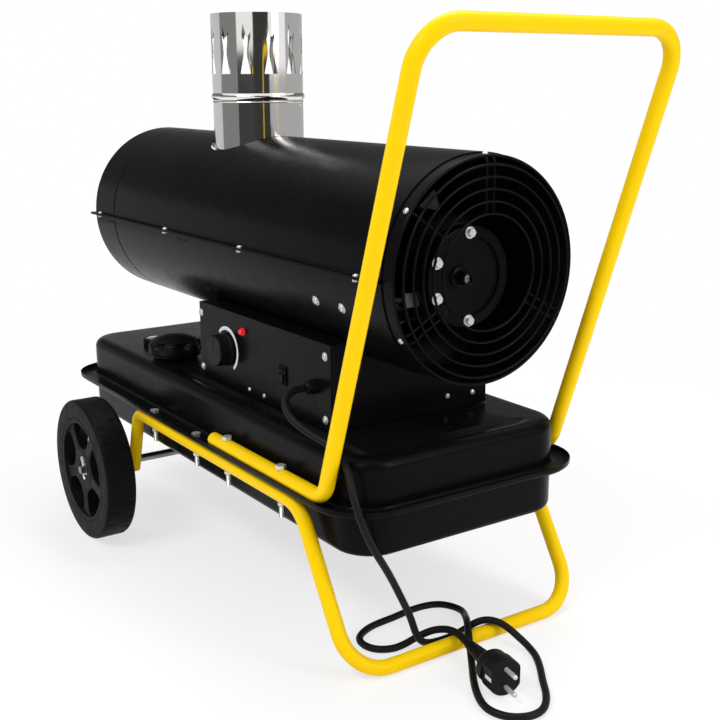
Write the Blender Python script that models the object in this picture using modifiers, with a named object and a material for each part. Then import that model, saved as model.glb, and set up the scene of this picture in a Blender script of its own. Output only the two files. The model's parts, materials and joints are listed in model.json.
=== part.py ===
"""Indirect fired heater on a wheeled tank, modelled piece by piece in metres.

+Z is up, +X is the air intake and handle end, -X the hot air outlet and wheel end,
-Y the control panel side.  The floor is z = 0 and the origin is under the middle.
"""

from math import acos, asin, atan2, ceil, cos, degrees, pi, radians, sin, sqrt, tan

import bmesh
import bpy
from mathutils import Matrix, Vector

# General
GAP = 0.0003                 # clearance between touching pieces
SHEET = 0.0012               # body sheet metal
THICK_SHEET = 0.002          # brackets
TUBE_R = 0.008               # frame tube, 16 mm
CUT_PAST = 0.004             # how far a cutter runs past the metal
ROOT_IN = 0.001              # how far a joined piece reaches into the one that carries it
WELD = 0.00001               # points closer than this become one
WELD_FINE = 0.000002

# Tank
TANK_X0 = -0.398
TANK_X1 = 0.296
TANK_HALF_Y = 0.137
TANK_CORNER = 0.042
TANK_BOTTOM_Z = 0.1225
TANK_FLANGE_Z = 0.172
TANK_TOP_Z = 0.225
TANK_FILLET = 0.012
PAN_FILLET = 0.0084
FLANGE_END = 0.015           # how far the flange stands out at the two ends
FLANGE_SIDE = 0.0225         # and at the two sides
FLANGE_LIP = 0.0055
FLANGE_BEND = 0.004
GUTTER_DEPTH = 0.005
GUTTER_W = 0.018
GUTTER_LEAD = 0.040          # how far behind the box the gutter starts
GUTTER_FADE = 0.030
GUTTER_END = 0.020

# Filler, gauge and drain
FILLER_X = -0.198
FILLER_IN = 0.0455            # from the tank's side wall in to the filler's middle
FILLER_Y = FILLER_IN - TANK_HALF_Y
NECK_R = 0.026
NECK_WALL = 0.0016
NECK_RISE = 0.0095
NECK_TOP_Z = TANK_TOP_Z + NECK_RISE
NECK_DROP = 0.008
NECK_FLANGE_R = 0.0290
STRAINER_DEPTH = 0.055
STRAINER_HOLE_R = 0.0069
SEAL_R = 0.0275
SEAL_HOLE_R = 0.0115
SEAL_H = 0.0025
CAP_R = 0.035
CAP_TOP_H = 0.018
CAP_ROUND = 0.003
CAP_SKIRT_R = 0.0300         # inner radius of the skirt
CAP_WALL = 0.003
CAP_STAND = 0.0025           # from the neck's flange up to the skirt
CAP_SHOULDER = 0.003         # how far the full skirt runs up beside the well
CAP_LOBES = 6
LOBE_DROP = 0.0085
LOBE_ROUND = 0.0018
GAUGE_X = -0.287
GAUGE_IN = 0.0565
GAUGE_Y = GAUGE_IN - TANK_HALF_Y
GAUGE_R = 0.016
GAUGE_H = 0.009
NEEDLE_LEN = 0.0114
NEEDLE_W = 0.0016
NEEDLE_T = 0.0014
GAUGE_BORE_R = 0.0017
NEEDLE_POST_R = 0.0012
STEM_R = 0.0045
FORK_DROP = 0.022            # from the tank's top down to the gauge's fork
FORK_TOP_Z = TANK_TOP_Z - FORK_DROP
FORK_T = 0.002
FORK_Y = 0.0055
FLOAT_PIN_R = 0.0020
FLOAT_DROP = 0.007
FLOAT_PIVOT_Z = FORK_TOP_Z - FLOAT_DROP
FLOAT_ARM = 0.052
FLOAT_ROD_T = 0.0022
FLOAT_SIZE = (0.030, 0.030, 0.016)
DRAIN_X = -0.330
DRAIN_R = 0.0058
DRAIN_HEX_R = 0.0104
DRAIN_HEX_H = 0.005

# Control box
BOX_X0 = -0.096
BOX_X1 = 0.198
BOX_HALF_Y = 0.1035
BOX_H = 0.0918
BOX_Z0 = TANK_TOP_Z + SHEET
BOX_Z1 = BOX_Z0 + BOX_H
PANEL_INSET = SHEET + GAP
BOX_RIM = 0.009

# Drum
DRUM_R = 0.113
DRUM_SINK = 0.032            # how far the drum's belly sits down into the box
DRUM_Z = BOX_Z1 + DRUM_R - DRUM_SINK
DRUM_BACK_X = -0.388
DRUM_FRONT_X = 0.300
SEAM_LIP = 0.009             # side lips where the two half shells meet
SLOT_SIZE = (0.028, 0.006, 0.0024)
SLOT_XS = (-0.333, -0.115)
SLOT_DROP = 0.0075
RING_SLEEVE = 0.018
RING_BEAD_R = 0.002
SHROUD_FRONT_X = 0.316
SHROUD_SLEEVE = 0.040

# Flue
FLUE_X = -0.121
FLUE_R = 0.055
FLUE_WALL = 0.0008
FLUE_PLAY = 0.0045           # between the flue and its hole in the drum
FLUE_SINK = 0.016            # how far the flue reaches down into the drum
FLUE_PIPE_H = 0.0500         # from the top of the drum to the joint
COLLAR_H = 0.0915
BEAD_R = 0.0028
COUPLING = 0.022
FLAMES = 12
FLAME_TURN = -12.0
FLAME_HALF = 0.0080
FLAME_FOOT_SHARE = 0.240     # height of the flames' foot and tip, as shares of the collar
FLAME_TIP_SHARE = 0.865
DRUM_TOP_Z = DRUM_Z + DRUM_R
FLUE_JOINT_Z = DRUM_TOP_Z + FLUE_PIPE_H
FLAME_FOOT_Z = FLUE_JOINT_Z + COLLAR_H * FLAME_FOOT_SHARE
FLAME_TIP_Z = FLUE_JOINT_Z + COLLAR_H * FLAME_TIP_SHARE

# Frames
FRAME_OUT = 0.013            # from the tank's side wall out to the tubes' middle
FRAME_Y = TANK_HALF_Y + FRAME_OUT
AXLE_X = -0.214
WHEEL_R = 0.091
HANDLE_FOOT_X = 0.020
HANDLE_BEND_X = 0.256
HANDLE_TOP = (0.4062, 0.6225)
HANDLE_BEND_R = 0.024
HANDLE_CORNER_R = 0.040
REAR_BEND_X = -0.192
REAR_BEND_R = 0.020
LEG_TOP_X = 0.2096
LEG_BEND_R = 0.040
FOOT_BAR_X = 0.3035
FOOT_CORNER_R = 0.046
TUBE_END_PAST = 0.014

# Frame bolts, M6
BOLT_R = 0.003
BOLT_HOLE_R = 0.0034
BOLT_HEAD_R = 0.0058
BOLT_HEAD_H = 0.004
NUT_H = 0.005
BOLT_END_Z = 0.136
SHORT_BOLT_XS = (-0.141, -0.024)
LONG_BOLT_XS = (0.055, 0.173)

# Wheels
AXLE_R = 0.005
WHEEL_OUT = 0.0745           # from the frame's tube out to the wheel's face
WHEEL_FACE_Y = FRAME_Y + WHEEL_OUT
TYRE_W = 0.038
TYRE_H = 0.023               # from the rim out to the tread
TYRE_SHOULDER = 0.004
RIM_SET = 0.0016
RIM_BAND = 0.006
HUB_R = 0.017
HUB_LEN = 0.0464
HUB_SET = 0.0056
WEB_T = 0.008
WEB_SET = 0.005              # from the rim's edge in to the spokes
SPOKES = 5
WINDOW_EDGE = 0.002
WINDOW_FOOT = 0.010          # from the hub out to the windows
AXLE_PAST = 0.0015
PIN_SET = 0.003
AXLE_END_Y = WHEEL_FACE_Y + AXLE_PAST
PIN_Y = WHEEL_FACE_Y - PIN_SET
PIN_R = 0.0014
PIN_OVER = 0.005             # how far the split pin stands past the axle, above and below
PIN_UNDER = 0.004
PIN_TIP = (0.004, 0.003)
PIN_EYE_R = 0.0035

# Controls
KNOB_X = -0.027
KNOB_UP = 0.0453             # heights on the panel are from the foot of the box
KNOB_Z = BOX_Z0 + KNOB_UP
KNOB_R = 0.0195
KNOB_H = 0.018
KNOB_ROUND = 0.0012
KNOB_FLANGE_H = 0.003
KNOB_SHAFT_R = 0.003
KNOB_SHAFT_LEN = 0.009
POINTER_W = 0.0012
POINTER_DEPTH = 0.0012
THERMOSTAT_R = 0.021
THERMOSTAT_H = 0.022
LAMP_X = 0.014
LAMP_UP = 0.0733
LAMP_Z = BOX_Z0 + LAMP_UP
LAMP_R = 0.0052
LAMP_H = 0.006
LAMP_BODY_LEN = 0.016
SWITCH_X = 0.102
SWITCH_UP = 0.0408
SWITCH_Z = BOX_Z0 + SWITCH_UP
SWITCH_SIZE = (0.0150, 0.0210)
ROCKER_SIZE = (0.0095, 0.0155)
ROCKER_R = 0.0085
ROCKER_FACE = 0.0035         # from the rocker's axis out to its face
ROCKER_BACK = 0.0016
ROCKER_PLAY = 0.00175
ROCKER_SET = 0.0005
DISH_SIZE = (0.004, 0.012)
DISH_AT = (-0.0048, 0.0075)
BEZEL_T = 0.0018
CASE_EDGE = 0.0015
SWITCH_EDGE = 0.001
SWITCH_DEPTH = 0.022
WELL_DEPTH = 0.009
GLAND_X = 0.168
GLAND_UP = 0.0433
GLAND_Z = BOX_Z0 + GLAND_UP
GLAND_R = 0.0095
GLAND_LEN = 0.014
GLAND_THREAD_R = 0.0068
GLAND_THREAD_LEN = 0.012
BOARD_SIZE = (0.075, 0.060, 0.0016)
BOARD_X = 0.095
BOARD_Y = 0.030
BOARD_LIFT = 0.008
BOARD_LEG_R = 0.0025
BOARD_LEG_INSET = 0.005
RELAY_SIZE = (0.018, 0.015, 0.014)
RELAY_AT = (-0.020, -0.010)
BLOCK_SIZE = (0.040, 0.009, 0.010)
BLOCK_AT = (0.005, 0.022)
CHOKE_SIZE = (0.016, 0.016, 0.012)
CHOKE_AT = (0.017, -0.010)
TRANSFORMER_SIZE = (0.062, 0.050, 0.040)
TRANSFORMER_X = -0.040
TRANSFORMER_Y = 0.040
TERMINAL_R = 0.005
TERMINAL_Y = 0.014
TERMINAL_LEN = 0.010

# Fan end
GUARD_X = 0.3195
GUARD_WIRE_R = 0.0014
GUARD_RING_SHARES = (0.9027, 0.8027, 0.7027, 0.6000, 0.4973)  # of the drum's radius
GUARD_TUCK = 0.012
GUARD_PLAY = 0.0011
SPOKE_ANGLES = (90.0, 210.0, 330.0)
SPOKE_HALF = 0.0045
SINGLE_ANGLE = 145.0
MOTOR_X0 = 0.168
MOTOR_X1 = 0.258
MOTOR_R = 0.052
MOTOR_RIM = 0.004
BRACKET_X0 = 0.172
BRACKET_X1 = 0.238
BRACKET_HALF_Y = 0.050
SHAFT_R = 0.005
SHAFT_BACK_X = 0.106
FAN_X0 = 0.112
FAN_X1 = 0.142
FAN_PLAY = 0.0138            # between the blade tips and the drum
FAN_HUB_R = 0.020
FAN_ROUND = 0.003
FAN_BLADES = 5
BLADE_T = 0.0016
BLADE_INSET = 0.004
PUMP_DROP = 0.008            # how far the pump lies below the drum's axis
PUMP_Z = DRUM_Z - PUMP_DROP
PUMP_R = 0.0505
PUMP_X0 = 0.2585
PUMP_X1 = 0.2735
COVER_X1 = 0.289
COVER_ROUND = 0.0015
PORT_SIZE = (0.010, 0.018, 0.014)
PORT_SET = 0.006
PORT_OUT = 0.004
PORT_DROP = 0.020
RECESS_EDGE = 0.0105
RECESS_DEPTH = 0.004
RECESS_SPLIT = 0.004         # from the middle to the recess's straight side
ROTOR_R = 0.0215
ROTOR_X0 = 0.2625
ROTOR_X1 = 0.2715
NOSE_Y = -0.014
NOSE_R = 0.0068
NOSE_LEN = 0.017
NOSE_RISE = 0.0015
NOSE_COLLAR_H = 0.003
SCREW_R = 0.0042
SCREW_SEAT = 0.004
SCREW_SET = 0.003
SCREW_SLOT = (0.0015, 0.0012)
PUMP_BOLT_ANGLES = (90.0, 157.0, 204.0, 270.0)
PUMP_BOLT_CIRCLE = 0.0435
PUMP_BOSS_R = 0.0056
PUMP_BOSS_H = 0.0012
PUMP_HEAD_R = 0.0046
PUMP_HEAD_H = 0.0048

# Burner
CHAMBER_R = 0.062
CHAMBER_X0 = -0.250
CHAMBER_X1 = 0.078
BURNER_T = 0.004
NOZZLE_R = 0.011
NOZZLE_LEN = 0.020
CONE_ROOT = 0.010
CONE_LEN = 0.022
EXCHANGER_R = 0.088
EXCHANGER_X0 = -0.322
EXCHANGER_X1 = 0.026
SPIGOT_R = 0.0532
SPIGOT_RISE = 0.016          # above the top of the drum
LEG_W = 0.012
LEG_T = 0.003
LEG_INSET = 0.025
LEG_ROOT = 0.002

# Hoses and cord
HOSE_R = 0.003
HOSE_STEP = 0.014
HOSE_SHARES = (              # y and z from the drum's axis, as shares of its radius
    (-0.788, -0.150), (-0.805, -0.168), (-0.907, -0.168),
    (-0.898, -0.150), (-0.708, -0.097), (-0.354, -0.027),
)
CORD_R = 0.00385
CORD_STEP = 0.020
PLUG_FACE = (0.403, -0.038)  # x and y of the pin face, whose plug lies on the floor
PLUG_WAY = (0.982, -0.188, 0.0)
PLUG_R = 0.0190
PLUG_LEN = 0.028
PLUG_FLAT = 0.003
NECK_LEN = 0.012
RELIEF_LEN = 0.034
PIN_GAP = 0.019
PLUG_PIN_R = 0.0024
PLUG_PIN_LEN = 0.019
CORD_ROUTE = [
    (0.1682, -0.1290, 0.2696), (0.1730, -0.1430, 0.2660), (0.1900, -0.1515, 0.2550),
    (0.2210, -0.1460, 0.2405), (0.2570, -0.1360, 0.2303), (0.2840, -0.1400, 0.2170),
    (0.3020, -0.1450, 0.1930), (0.3100, -0.1380, 0.1620), (0.3050, -0.1060, 0.1080),
    (0.2930, -0.0720, 0.0500), (0.2870, -0.0500, 0.0095), (0.2840, -0.0320, 0.0042),
    (0.2850, -0.0120, 0.0043), (0.2885, 0.0030, 0.0090), (0.2980, 0.0170, 0.0215),
    (0.3120, 0.0310, 0.0220), (0.3300, 0.0400, 0.0110), (0.3520, 0.0410, 0.0043),
    (0.3800, 0.0270, 0.0043), (0.4080, 0.0060, 0.0043), (0.4340, -0.0130, 0.0043),
    (0.4500, -0.0360, 0.0043), (0.4420, -0.0620, 0.0043), (0.4180, -0.0730, 0.0043),
    (0.3920, -0.0640, 0.0043), (0.3680, -0.0490, 0.0043), (0.3440, -0.0310, 0.0041),
    (0.3200, -0.0150, 0.0145), (0.3040, -0.0040, 0.0230), (0.2880, 0.0070, 0.0215),
    (0.2660, 0.0240, 0.0095), (0.2410, 0.0380, 0.0043), (0.2170, 0.0280, 0.0043),
    (0.2100, 0.0000, 0.0043), (0.2140, -0.0360, 0.0043), (0.2180, -0.0720, 0.0043),
    (0.2350, -0.0970, 0.0043), (0.2610, -0.0940, 0.0043), (0.2725, -0.0690, 0.0046),
    (0.2745, -0.0495, 0.0110), (0.2850, -0.0300, 0.0195), (0.3060, -0.0205, 0.0222),
]

YELLOW = (0.93, 0.62, 0.01)
BLACK = (0.012, 0.012, 0.013)
RUBBER = (0.018, 0.018, 0.018)
STEEL = (0.62, 0.62, 0.60)
STAINLESS = (0.78, 0.77, 0.75)
RED = (0.75, 0.01, 0.01)
BOARD_GREEN = (0.03, 0.16, 0.07)
BRASS = (0.62, 0.44, 0.16)

PARTS = bpy.data.collections.new("indirect_fired_heater")
CUTTERS = bpy.data.collections.new("cutters")


# Small tools

def clear_scene():
    for ob in list(bpy.data.objects):
        bpy.data.objects.remove(ob, do_unlink=True)
    bpy.context.scene.collection.children.link(PARTS)
    bpy.context.scene.collection.children.link(CUTTERS)


def material(name, colour, roughness, metallic=0.0):
    mat = bpy.data.materials.get(name)
    if mat:
        return mat
    mat = bpy.data.materials.new(name)
    mat.use_nodes = True
    shader = mat.node_tree.nodes["Principled BSDF"]
    shader.inputs["Base Color"].default_value = (*colour, 1.0)
    shader.inputs["Roughness"].default_value = roughness
    shader.inputs["Metallic"].default_value = metallic
    return mat


def place(ob, mat=None, angle=35.0):
    """Link a finished object to the parts collection, with its material and shading."""
    for owner in list(ob.users_collection):
        owner.objects.unlink(ob)
    PARTS.objects.link(ob)
    if mat:
        ob.data.materials.clear()
        ob.data.materials.append(mat)
    if ob.type == "MESH":
        ob.data.shade_smooth()
        ob.data.set_sharp_from_angle(angle=radians(angle))
    return ob


def mesh_object(name, bm):
    bmesh.ops.recalc_face_normals(bm, faces=bm.faces)
    mesh = bpy.data.meshes.new(name)
    bm.to_mesh(mesh)
    bm.free()
    ob = bpy.data.objects.new(name, mesh)
    bpy.context.scene.collection.objects.link(ob)
    return ob


def box(name, size, centre, rotation=None):
    bm = bmesh.new()
    bmesh.ops.create_cube(bm, size=1.0)
    turn = rotation or Matrix.Identity(4)
    shape = Matrix.Translation(centre) @ turn @ Matrix.Diagonal((*size, 1.0))
    bmesh.ops.transform(bm, matrix=shape, verts=bm.verts)
    return mesh_object(name, bm)


def facing(axis):
    """The turn that takes +Z to the given direction."""
    return Vector(axis).to_track_quat("Z", "Y").to_matrix().to_4x4()


def cylinder(name, radius, start, end, sides=24, radius2=None, turn=0.0):
    """A cylinder or cone between two points."""
    start = Vector(start)
    end = Vector(end)
    bm = bmesh.new()
    bmesh.ops.create_cone(bm, cap_ends=True, segments=sides, radius1=radius,
                          radius2=radius if radius2 is None else radius2,
                          depth=(end - start).length)
    pose = Matrix.Translation((start + end) / 2) @ facing(end - start) @ Matrix.Rotation(turn, 4, "Z")
    bmesh.ops.transform(bm, matrix=pose, verts=bm.verts)
    return mesh_object(name, bm)


def turned(name, profile, origin, axis, steps=32):
    """Turn a closed profile of (radius, height) points about an axis, with a Screw modifier."""
    bm = bmesh.new()
    verts = [bm.verts.new((radius, 0.0, height)) for radius, height in profile]
    for here, there in zip(verts, verts[1:] + verts[:1]):
        bm.edges.new((here, there))
    mesh = bpy.data.meshes.new(name)
    bm.to_mesh(mesh)
    bm.free()
    ob = bpy.data.objects.new(name, mesh)
    bpy.context.scene.collection.objects.link(ob)
    screw = ob.modifiers.new("turn", "SCREW")
    screw.steps = screw.render_steps = steps
    screw.use_merge_vertices = True
    screw.merge_threshold = WELD
    baked = bake(ob)
    baked.data.transform(Matrix.Translation(origin) @ facing(axis))
    bm = bmesh.new()
    bm.from_mesh(baked.data)
    bmesh.ops.recalc_face_normals(bm, faces=bm.faces)
    bm.to_mesh(baked.data)
    bm.free()
    return baked


def bake(ob):
    """Replace an object by the mesh that its modifiers or its curve make, with welded caps."""
    bpy.context.view_layer.update()
    graph = bpy.context.evaluated_depsgraph_get()
    mesh = bpy.data.meshes.new_from_object(ob.evaluated_get(graph))
    mesh.transform(ob.matrix_world)
    bm = bmesh.new()
    bm.from_mesh(mesh)
    bmesh.ops.remove_doubles(bm, verts=bm.verts, dist=WELD_FINE)
    bm.to_mesh(mesh)
    bm.free()
    name = ob.name
    bpy.data.objects.remove(ob, do_unlink=True)
    mesh.name = name
    new = bpy.data.objects.new(name, mesh)
    bpy.context.scene.collection.objects.link(new)
    return new


def combine(ob, other, operation):
    """Boolean two meshes and drop the second one."""
    mod = ob.modifiers.new(operation.lower(), "BOOLEAN")
    mod.operation = operation
    mod.solver = "EXACT"
    mod.object = other
    name = ob.name
    new = bake(ob)
    new.name = name
    bpy.data.objects.remove(other, do_unlink=True)
    return new


def cut(ob, *cutters):
    for cutter in cutters:
        ob = combine(ob, cutter, "DIFFERENCE")
    return ob


def join(ob, *others):
    for other in others:
        ob = combine(ob, other, "UNION")
    return ob


def strip(name, path, x0, x1, thickness):
    """A sheet bent along a path of (y, z) points, between two x; its left side is thickened."""
    bm = bmesh.new()
    verts = [bm.verts.new((x0, y, z)) for y, z in path]
    edges = [bm.edges.new(pair) for pair in zip(verts, verts[1:])]
    grown = bmesh.ops.extrude_edge_only(bm, edges=edges)
    moved = [item for item in grown["geom"] if isinstance(item, bmesh.types.BMVert)]
    bmesh.ops.translate(bm, verts=moved, vec=(x1 - x0, 0.0, 0.0))
    bmesh.ops.recalc_face_normals(bm, faces=bm.faces)
    bm.faces.ensure_lookup_table()
    first = bm.faces[0]
    along = Vector((0.0, path[1][0] - path[0][0], path[1][1] - path[0][1]))
    left = Vector((1.0, 0.0, 0.0)).cross(along)
    if first.normal.dot(left) > 0.0:
        bmesh.ops.reverse_faces(bm, faces=bm.faces)
    mesh = bpy.data.meshes.new(name)
    bm.to_mesh(mesh)
    bm.free()
    ob = bpy.data.objects.new(name, mesh)
    bpy.context.scene.collection.objects.link(ob)
    solid = ob.modifiers.new("sheet", "SOLIDIFY")
    solid.thickness = thickness
    solid.offset = -1.0
    solid.use_even_offset = True
    return bake(ob)


def prism(name, outline, x0, x1):
    """A straight solid with an outline of (y, z) points, between two x."""
    bm = bmesh.new()
    face = bm.faces.new([bm.verts.new((x0, y, z)) for y, z in outline])
    grown = bmesh.ops.extrude_face_region(bm, geom=[face])
    moved = [item for item in grown["geom"] if isinstance(item, bmesh.types.BMVert)]
    bmesh.ops.translate(bm, verts=moved, vec=(x1 - x0, 0.0, 0.0))
    return mesh_object(name, bm)


def arc(centre, radius, start, end, count):
    """Points on an arc in a plane, angles in degrees."""
    turns = [radians(start + (end - start) * i / count) for i in range(count + 1)]
    return [(centre[0] + radius * cos(a), centre[1] + radius * sin(a)) for a in turns]


def rounded_path(corners, radii, max_turn=22.5):
    """A 3-D polyline with its inner corners rounded to the given radii."""
    points = [Vector(corners[0])]
    for before, corner, after, radius in zip(corners, corners[1:], corners[2:], radii):
        corner = Vector(corner)
        back = (Vector(before) - corner).normalized()
        ahead = (Vector(after) - corner).normalized()
        turn = pi - acos(max(-1.0, min(1.0, back.dot(ahead))))
        run = radius * tan(turn / 2)
        centre = corner + (back + ahead).normalized() * (radius / cos(turn / 2))
        start = corner + back * run - centre
        side = (corner - centre).normalized()
        normal = start.cross(side).normalized()
        steps = max(2, ceil(degrees(turn) / max_turn))
        for i in range(steps + 1):
            points.append(centre + Matrix.Rotation(turn * i / steps, 3, normal) @ start)
    points.append(Vector(corners[-1]))
    return points


def resample(points, step):
    """The same polyline with points at a steady spacing."""
    lengths = [0.0]
    for here, there in zip(points, points[1:]):
        lengths.append(lengths[-1] + (there - here).length)
    count = max(2, round(lengths[-1] / step))
    even = []
    j = 0
    for i in range(count + 1):
        want = lengths[-1] * i / count
        while j < len(points) - 2 and lengths[j + 1] < want:
            j += 1
        share = (want - lengths[j]) / (lengths[j + 1] - lengths[j])
        even.append(points[j].lerp(points[j + 1], min(1.0, share)))
    return even


def smooth_path(knots, step, fine=0.25, passes=6):
    """Points at a steady spacing on a smooth curve that runs through the knots."""
    knots = [Vector(k) for k in knots]
    spans = [(b - a).length for a, b in zip(knots, knots[1:])]
    slopes = [(b - a) / span for a, b, span in zip(knots, knots[1:], spans)]
    tangents = [slopes[0]]
    for before, after, slope_in, slope_out in zip(spans, spans[1:], slopes, slopes[1:]):
        tangents.append((slope_out * before + slope_in * after) / (before + after))
    tangents.append(slopes[-1])
    points = []
    parts = 24
    for a, b, span, leave, arrive in zip(knots, knots[1:], spans, tangents, tangents[1:]):
        for i in range(parts):
            t = i / parts
            points.append(a * (2 * t ** 3 - 3 * t * t + 1) + leave * (span * (t ** 3 - 2 * t * t + t))
                          + b * (3 * t * t - 2 * t ** 3) + arrive * (span * (t ** 3 - t * t)))
    points.append(knots[-1])
    points = resample(points, step * fine)
    for _ in range(passes):
        points = ([points[0]] + [(a + 2 * b + c) / 4 for a, b, c in zip(points, points[1:], points[2:])]
                  + [points[-1]])
    return resample(points, step)


def tube(name, points, radius, resolution=3, cyclic=False):
    """A round bar along points: a bevelled POLY curve with filled caps."""
    curve = bpy.data.curves.new(name, "CURVE")
    curve.dimensions = "3D"
    curve.bevel_depth = radius
    curve.bevel_resolution = resolution
    curve.use_fill_caps = not cyclic
    curve.twist_mode = "MINIMUM"
    spline = curve.splines.new("POLY")
    spline.points.add(len(points) - 1)
    for slot, point in zip(spline.points, points):
        slot.co = (*point, 1.0)
    spline.use_cyclic_u = cyclic
    ob = bpy.data.objects.new(name, curve)
    bpy.context.scene.collection.objects.link(ob)
    return ob


def outward(ob):
    """Face a closed mesh's faces outward."""
    bm = bmesh.new()
    bm.from_mesh(ob.data)
    bmesh.ops.recalc_face_normals(bm, faces=bm.faces)
    bm.to_mesh(ob.data)
    bm.free()
    return ob


def origin_at(ob, point):
    """Move an object's origin without moving its shape."""
    ob.data.transform(Matrix.Translation(-Vector(point)))
    ob.location = point
    return ob


def hexagon(name, across_r, start, end, turn=0.0):
    return cylinder(name, across_r, start, end, sides=6, turn=turn)


# Materials

def black_paint():
    return material("black_paint", BLACK, 0.38)


def yellow_paint():
    return material("yellow_paint", YELLOW, 0.30)


def zinc():
    return material("zinc_steel", STEEL, 0.32, 1.0)


def stainless():
    return material("stainless_steel", STAINLESS, 0.10, 1.0)


def black_plastic():
    return material("black_plastic", BLACK, 0.45)


def black_rubber():
    return material("black_rubber", RUBBER, 0.75)


def brass():
    return material("brass", BRASS, 0.30, 1.0)


# Tank

def tank_ring(inset, z, dips=0.0):
    """A rounded rectangle of points; inset is measured inward from the tank wall."""
    side, end = inset if isinstance(inset, tuple) else (inset, inset)
    half_y = TANK_HALF_Y - side
    x0 = TANK_X0 + end
    x1 = TANK_X1 - end
    corner = max(TANK_CORNER - max(side, end), TANK_FILLET)
    stop_shares = (0.12, 0.44, 0.52)
    run_x = (x1 - x0) - 2 * corner
    points = []
    for cx, cy, start in ((x1 - corner, half_y - corner, 0.0), (x0 + corner, half_y - corner, 90.0),
                          (x0 + corner, corner - half_y, 180.0), (x1 - corner, corner - half_y, 270.0)):
        points += arc((cx, cy), corner, start, start + 90.0, 3)
        if start == 0.0:
            points += [(x1 - corner - run_x * f, half_y) for f in stop_shares]
        if start == 180.0:
            points += [(x0 + corner + run_x * f, -half_y) for f in stop_shares]
    return [Vector((x, y, z - dips * gutter(x, y))) for x, y in points]


def gutter(x, y):
    """1 where the spill gutter runs, fading to 0 at its two ends."""
    if y < 0:
        along = min(1.0, max(0.0, (x - BOX_X0 + GUTTER_LEAD) / GUTTER_FADE))
    else:
        along = float(x > TANK_X1 - TANK_CORNER)
    end = min(1.0, max(0.0, (BOX_HALF_Y - y) / GUTTER_END))
    return along * end


def loft(name, rings, thickness):
    """A pressed sheet: rings of points joined by faces, the last one filled, then thickened inward."""
    bm = bmesh.new()
    rows = [[bm.verts.new(p) for p in ring] for ring in rings]
    for lower, upper in zip(rows, rows[1:]):
        count = len(lower)
        for i in range(count):
            j = (i + 1) % count
            bm.faces.new((lower[i], lower[j], upper[j], upper[i]))
    bm.faces.new(rows[-1])
    mesh = bpy.data.meshes.new(name)
    bm.to_mesh(mesh)
    bm.free()
    ob = bpy.data.objects.new(name, mesh)
    bpy.context.scene.collection.objects.link(ob)
    solid = ob.modifiers.new("sheet", "SOLIDIFY")
    solid.thickness = thickness
    solid.offset = -1.0
    solid.use_even_offset = True
    return outward(bake(ob))


def bolt_places():
    places = [(x, side, False) for side in (-1, 1) for x in SHORT_BOLT_XS]
    places += [(x, side, True) for side in (-1, 1) for x in LONG_BOLT_XS]
    return places


def bolt_holes(z0, z1, long_only=False):
    return [cylinder("hole", BOLT_HOLE_R, (x, side * FRAME_Y, z0), (x, side * FRAME_Y, z1), sides=8)
            for x, side, is_long in bolt_places() if is_long or not long_only]


def make_tank():
    lip = (-FLANGE_SIDE, -FLANGE_END)
    root_z = TANK_FLANGE_Z
    bend = FLANGE_BEND
    half_bend_share = 1.0 - cos(radians(45.0))
    fillet_mid = TANK_FILLET * half_bend_share
    upper_rings = [
        tank_ring(lip, root_z + SHEET + FLANGE_LIP),
        tank_ring((lip[0] + SHEET, lip[1] + SHEET), root_z + SHEET),
        tank_ring((-bend, -bend), root_z + SHEET),
        tank_ring(0.0, root_z + bend),
        tank_ring(0.0, TANK_TOP_Z - TANK_FILLET),
        tank_ring(fillet_mid, TANK_TOP_Z - fillet_mid),
        tank_ring(TANK_FILLET, TANK_TOP_Z),
    ]
    gutter_shares = ((0.28, 0.0), (0.50, 1.0), (0.78, 1.0), (1.0, 0.0))
    upper_rings += [tank_ring(TANK_FILLET + GUTTER_W * across, TANK_TOP_Z, dips=GUTTER_DEPTH * down)
                    for across, down in gutter_shares]
    upper = loft("tank_upper", upper_rings, SHEET)
    upper = cut(upper,
                cylinder("hole", NECK_R + GAP, (FILLER_X, FILLER_Y, TANK_TOP_Z - CUT_PAST),
                         (FILLER_X, FILLER_Y, TANK_TOP_Z + CUT_PAST), sides=32),
                cylinder("hole", STEM_R + GAP, (GAUGE_X, GAUGE_Y, TANK_TOP_Z - CUT_PAST),
                         (GAUGE_X, GAUGE_Y, TANK_TOP_Z + CUT_PAST), sides=16),
                *bolt_holes(root_z - CUT_PAST, root_z + CUT_PAST))
    place(upper, black_paint())

    foot_mid = PAN_FILLET * half_bend_share
    lower_rings = [
        tank_ring((lip[0] + 2 * SHEET, lip[1] + 2 * SHEET), root_z - GAP - SHEET),
        tank_ring((-bend, -bend), root_z - GAP - SHEET),
        tank_ring(0.0, root_z - bend),
        tank_ring(0.0, TANK_BOTTOM_Z + PAN_FILLET),
        tank_ring(foot_mid, TANK_BOTTOM_Z + foot_mid),
        tank_ring(PAN_FILLET, TANK_BOTTOM_Z),
    ]
    lower = loft("tank_lower", [ring[::-1] for ring in lower_rings], SHEET)
    lower = cut(lower,
                cylinder("hole", DRAIN_R + GAP, (DRAIN_X, 0.0, TANK_BOTTOM_Z - CUT_PAST),
                         (DRAIN_X, 0.0, TANK_BOTTOM_Z + CUT_PAST), sides=16),
                *bolt_holes(root_z - 2 * CUT_PAST, root_z + CUT_PAST))
    place(lower, black_paint())

    plug = hexagon("drain_plug", DRAIN_HEX_R, (DRAIN_X, 0.0, TANK_BOTTOM_Z - GAP - DRAIN_HEX_H),
                   (DRAIN_X, 0.0, TANK_BOTTOM_Z - GAP))
    plug = join(plug, cylinder("shank", DRAIN_R, (DRAIN_X, 0.0, TANK_BOTTOM_Z - DRAIN_HEX_H),
                               (DRAIN_X, 0.0, TANK_BOTTOM_Z + DRAIN_HEX_H), sides=16))
    place(plug, zinc())


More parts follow.
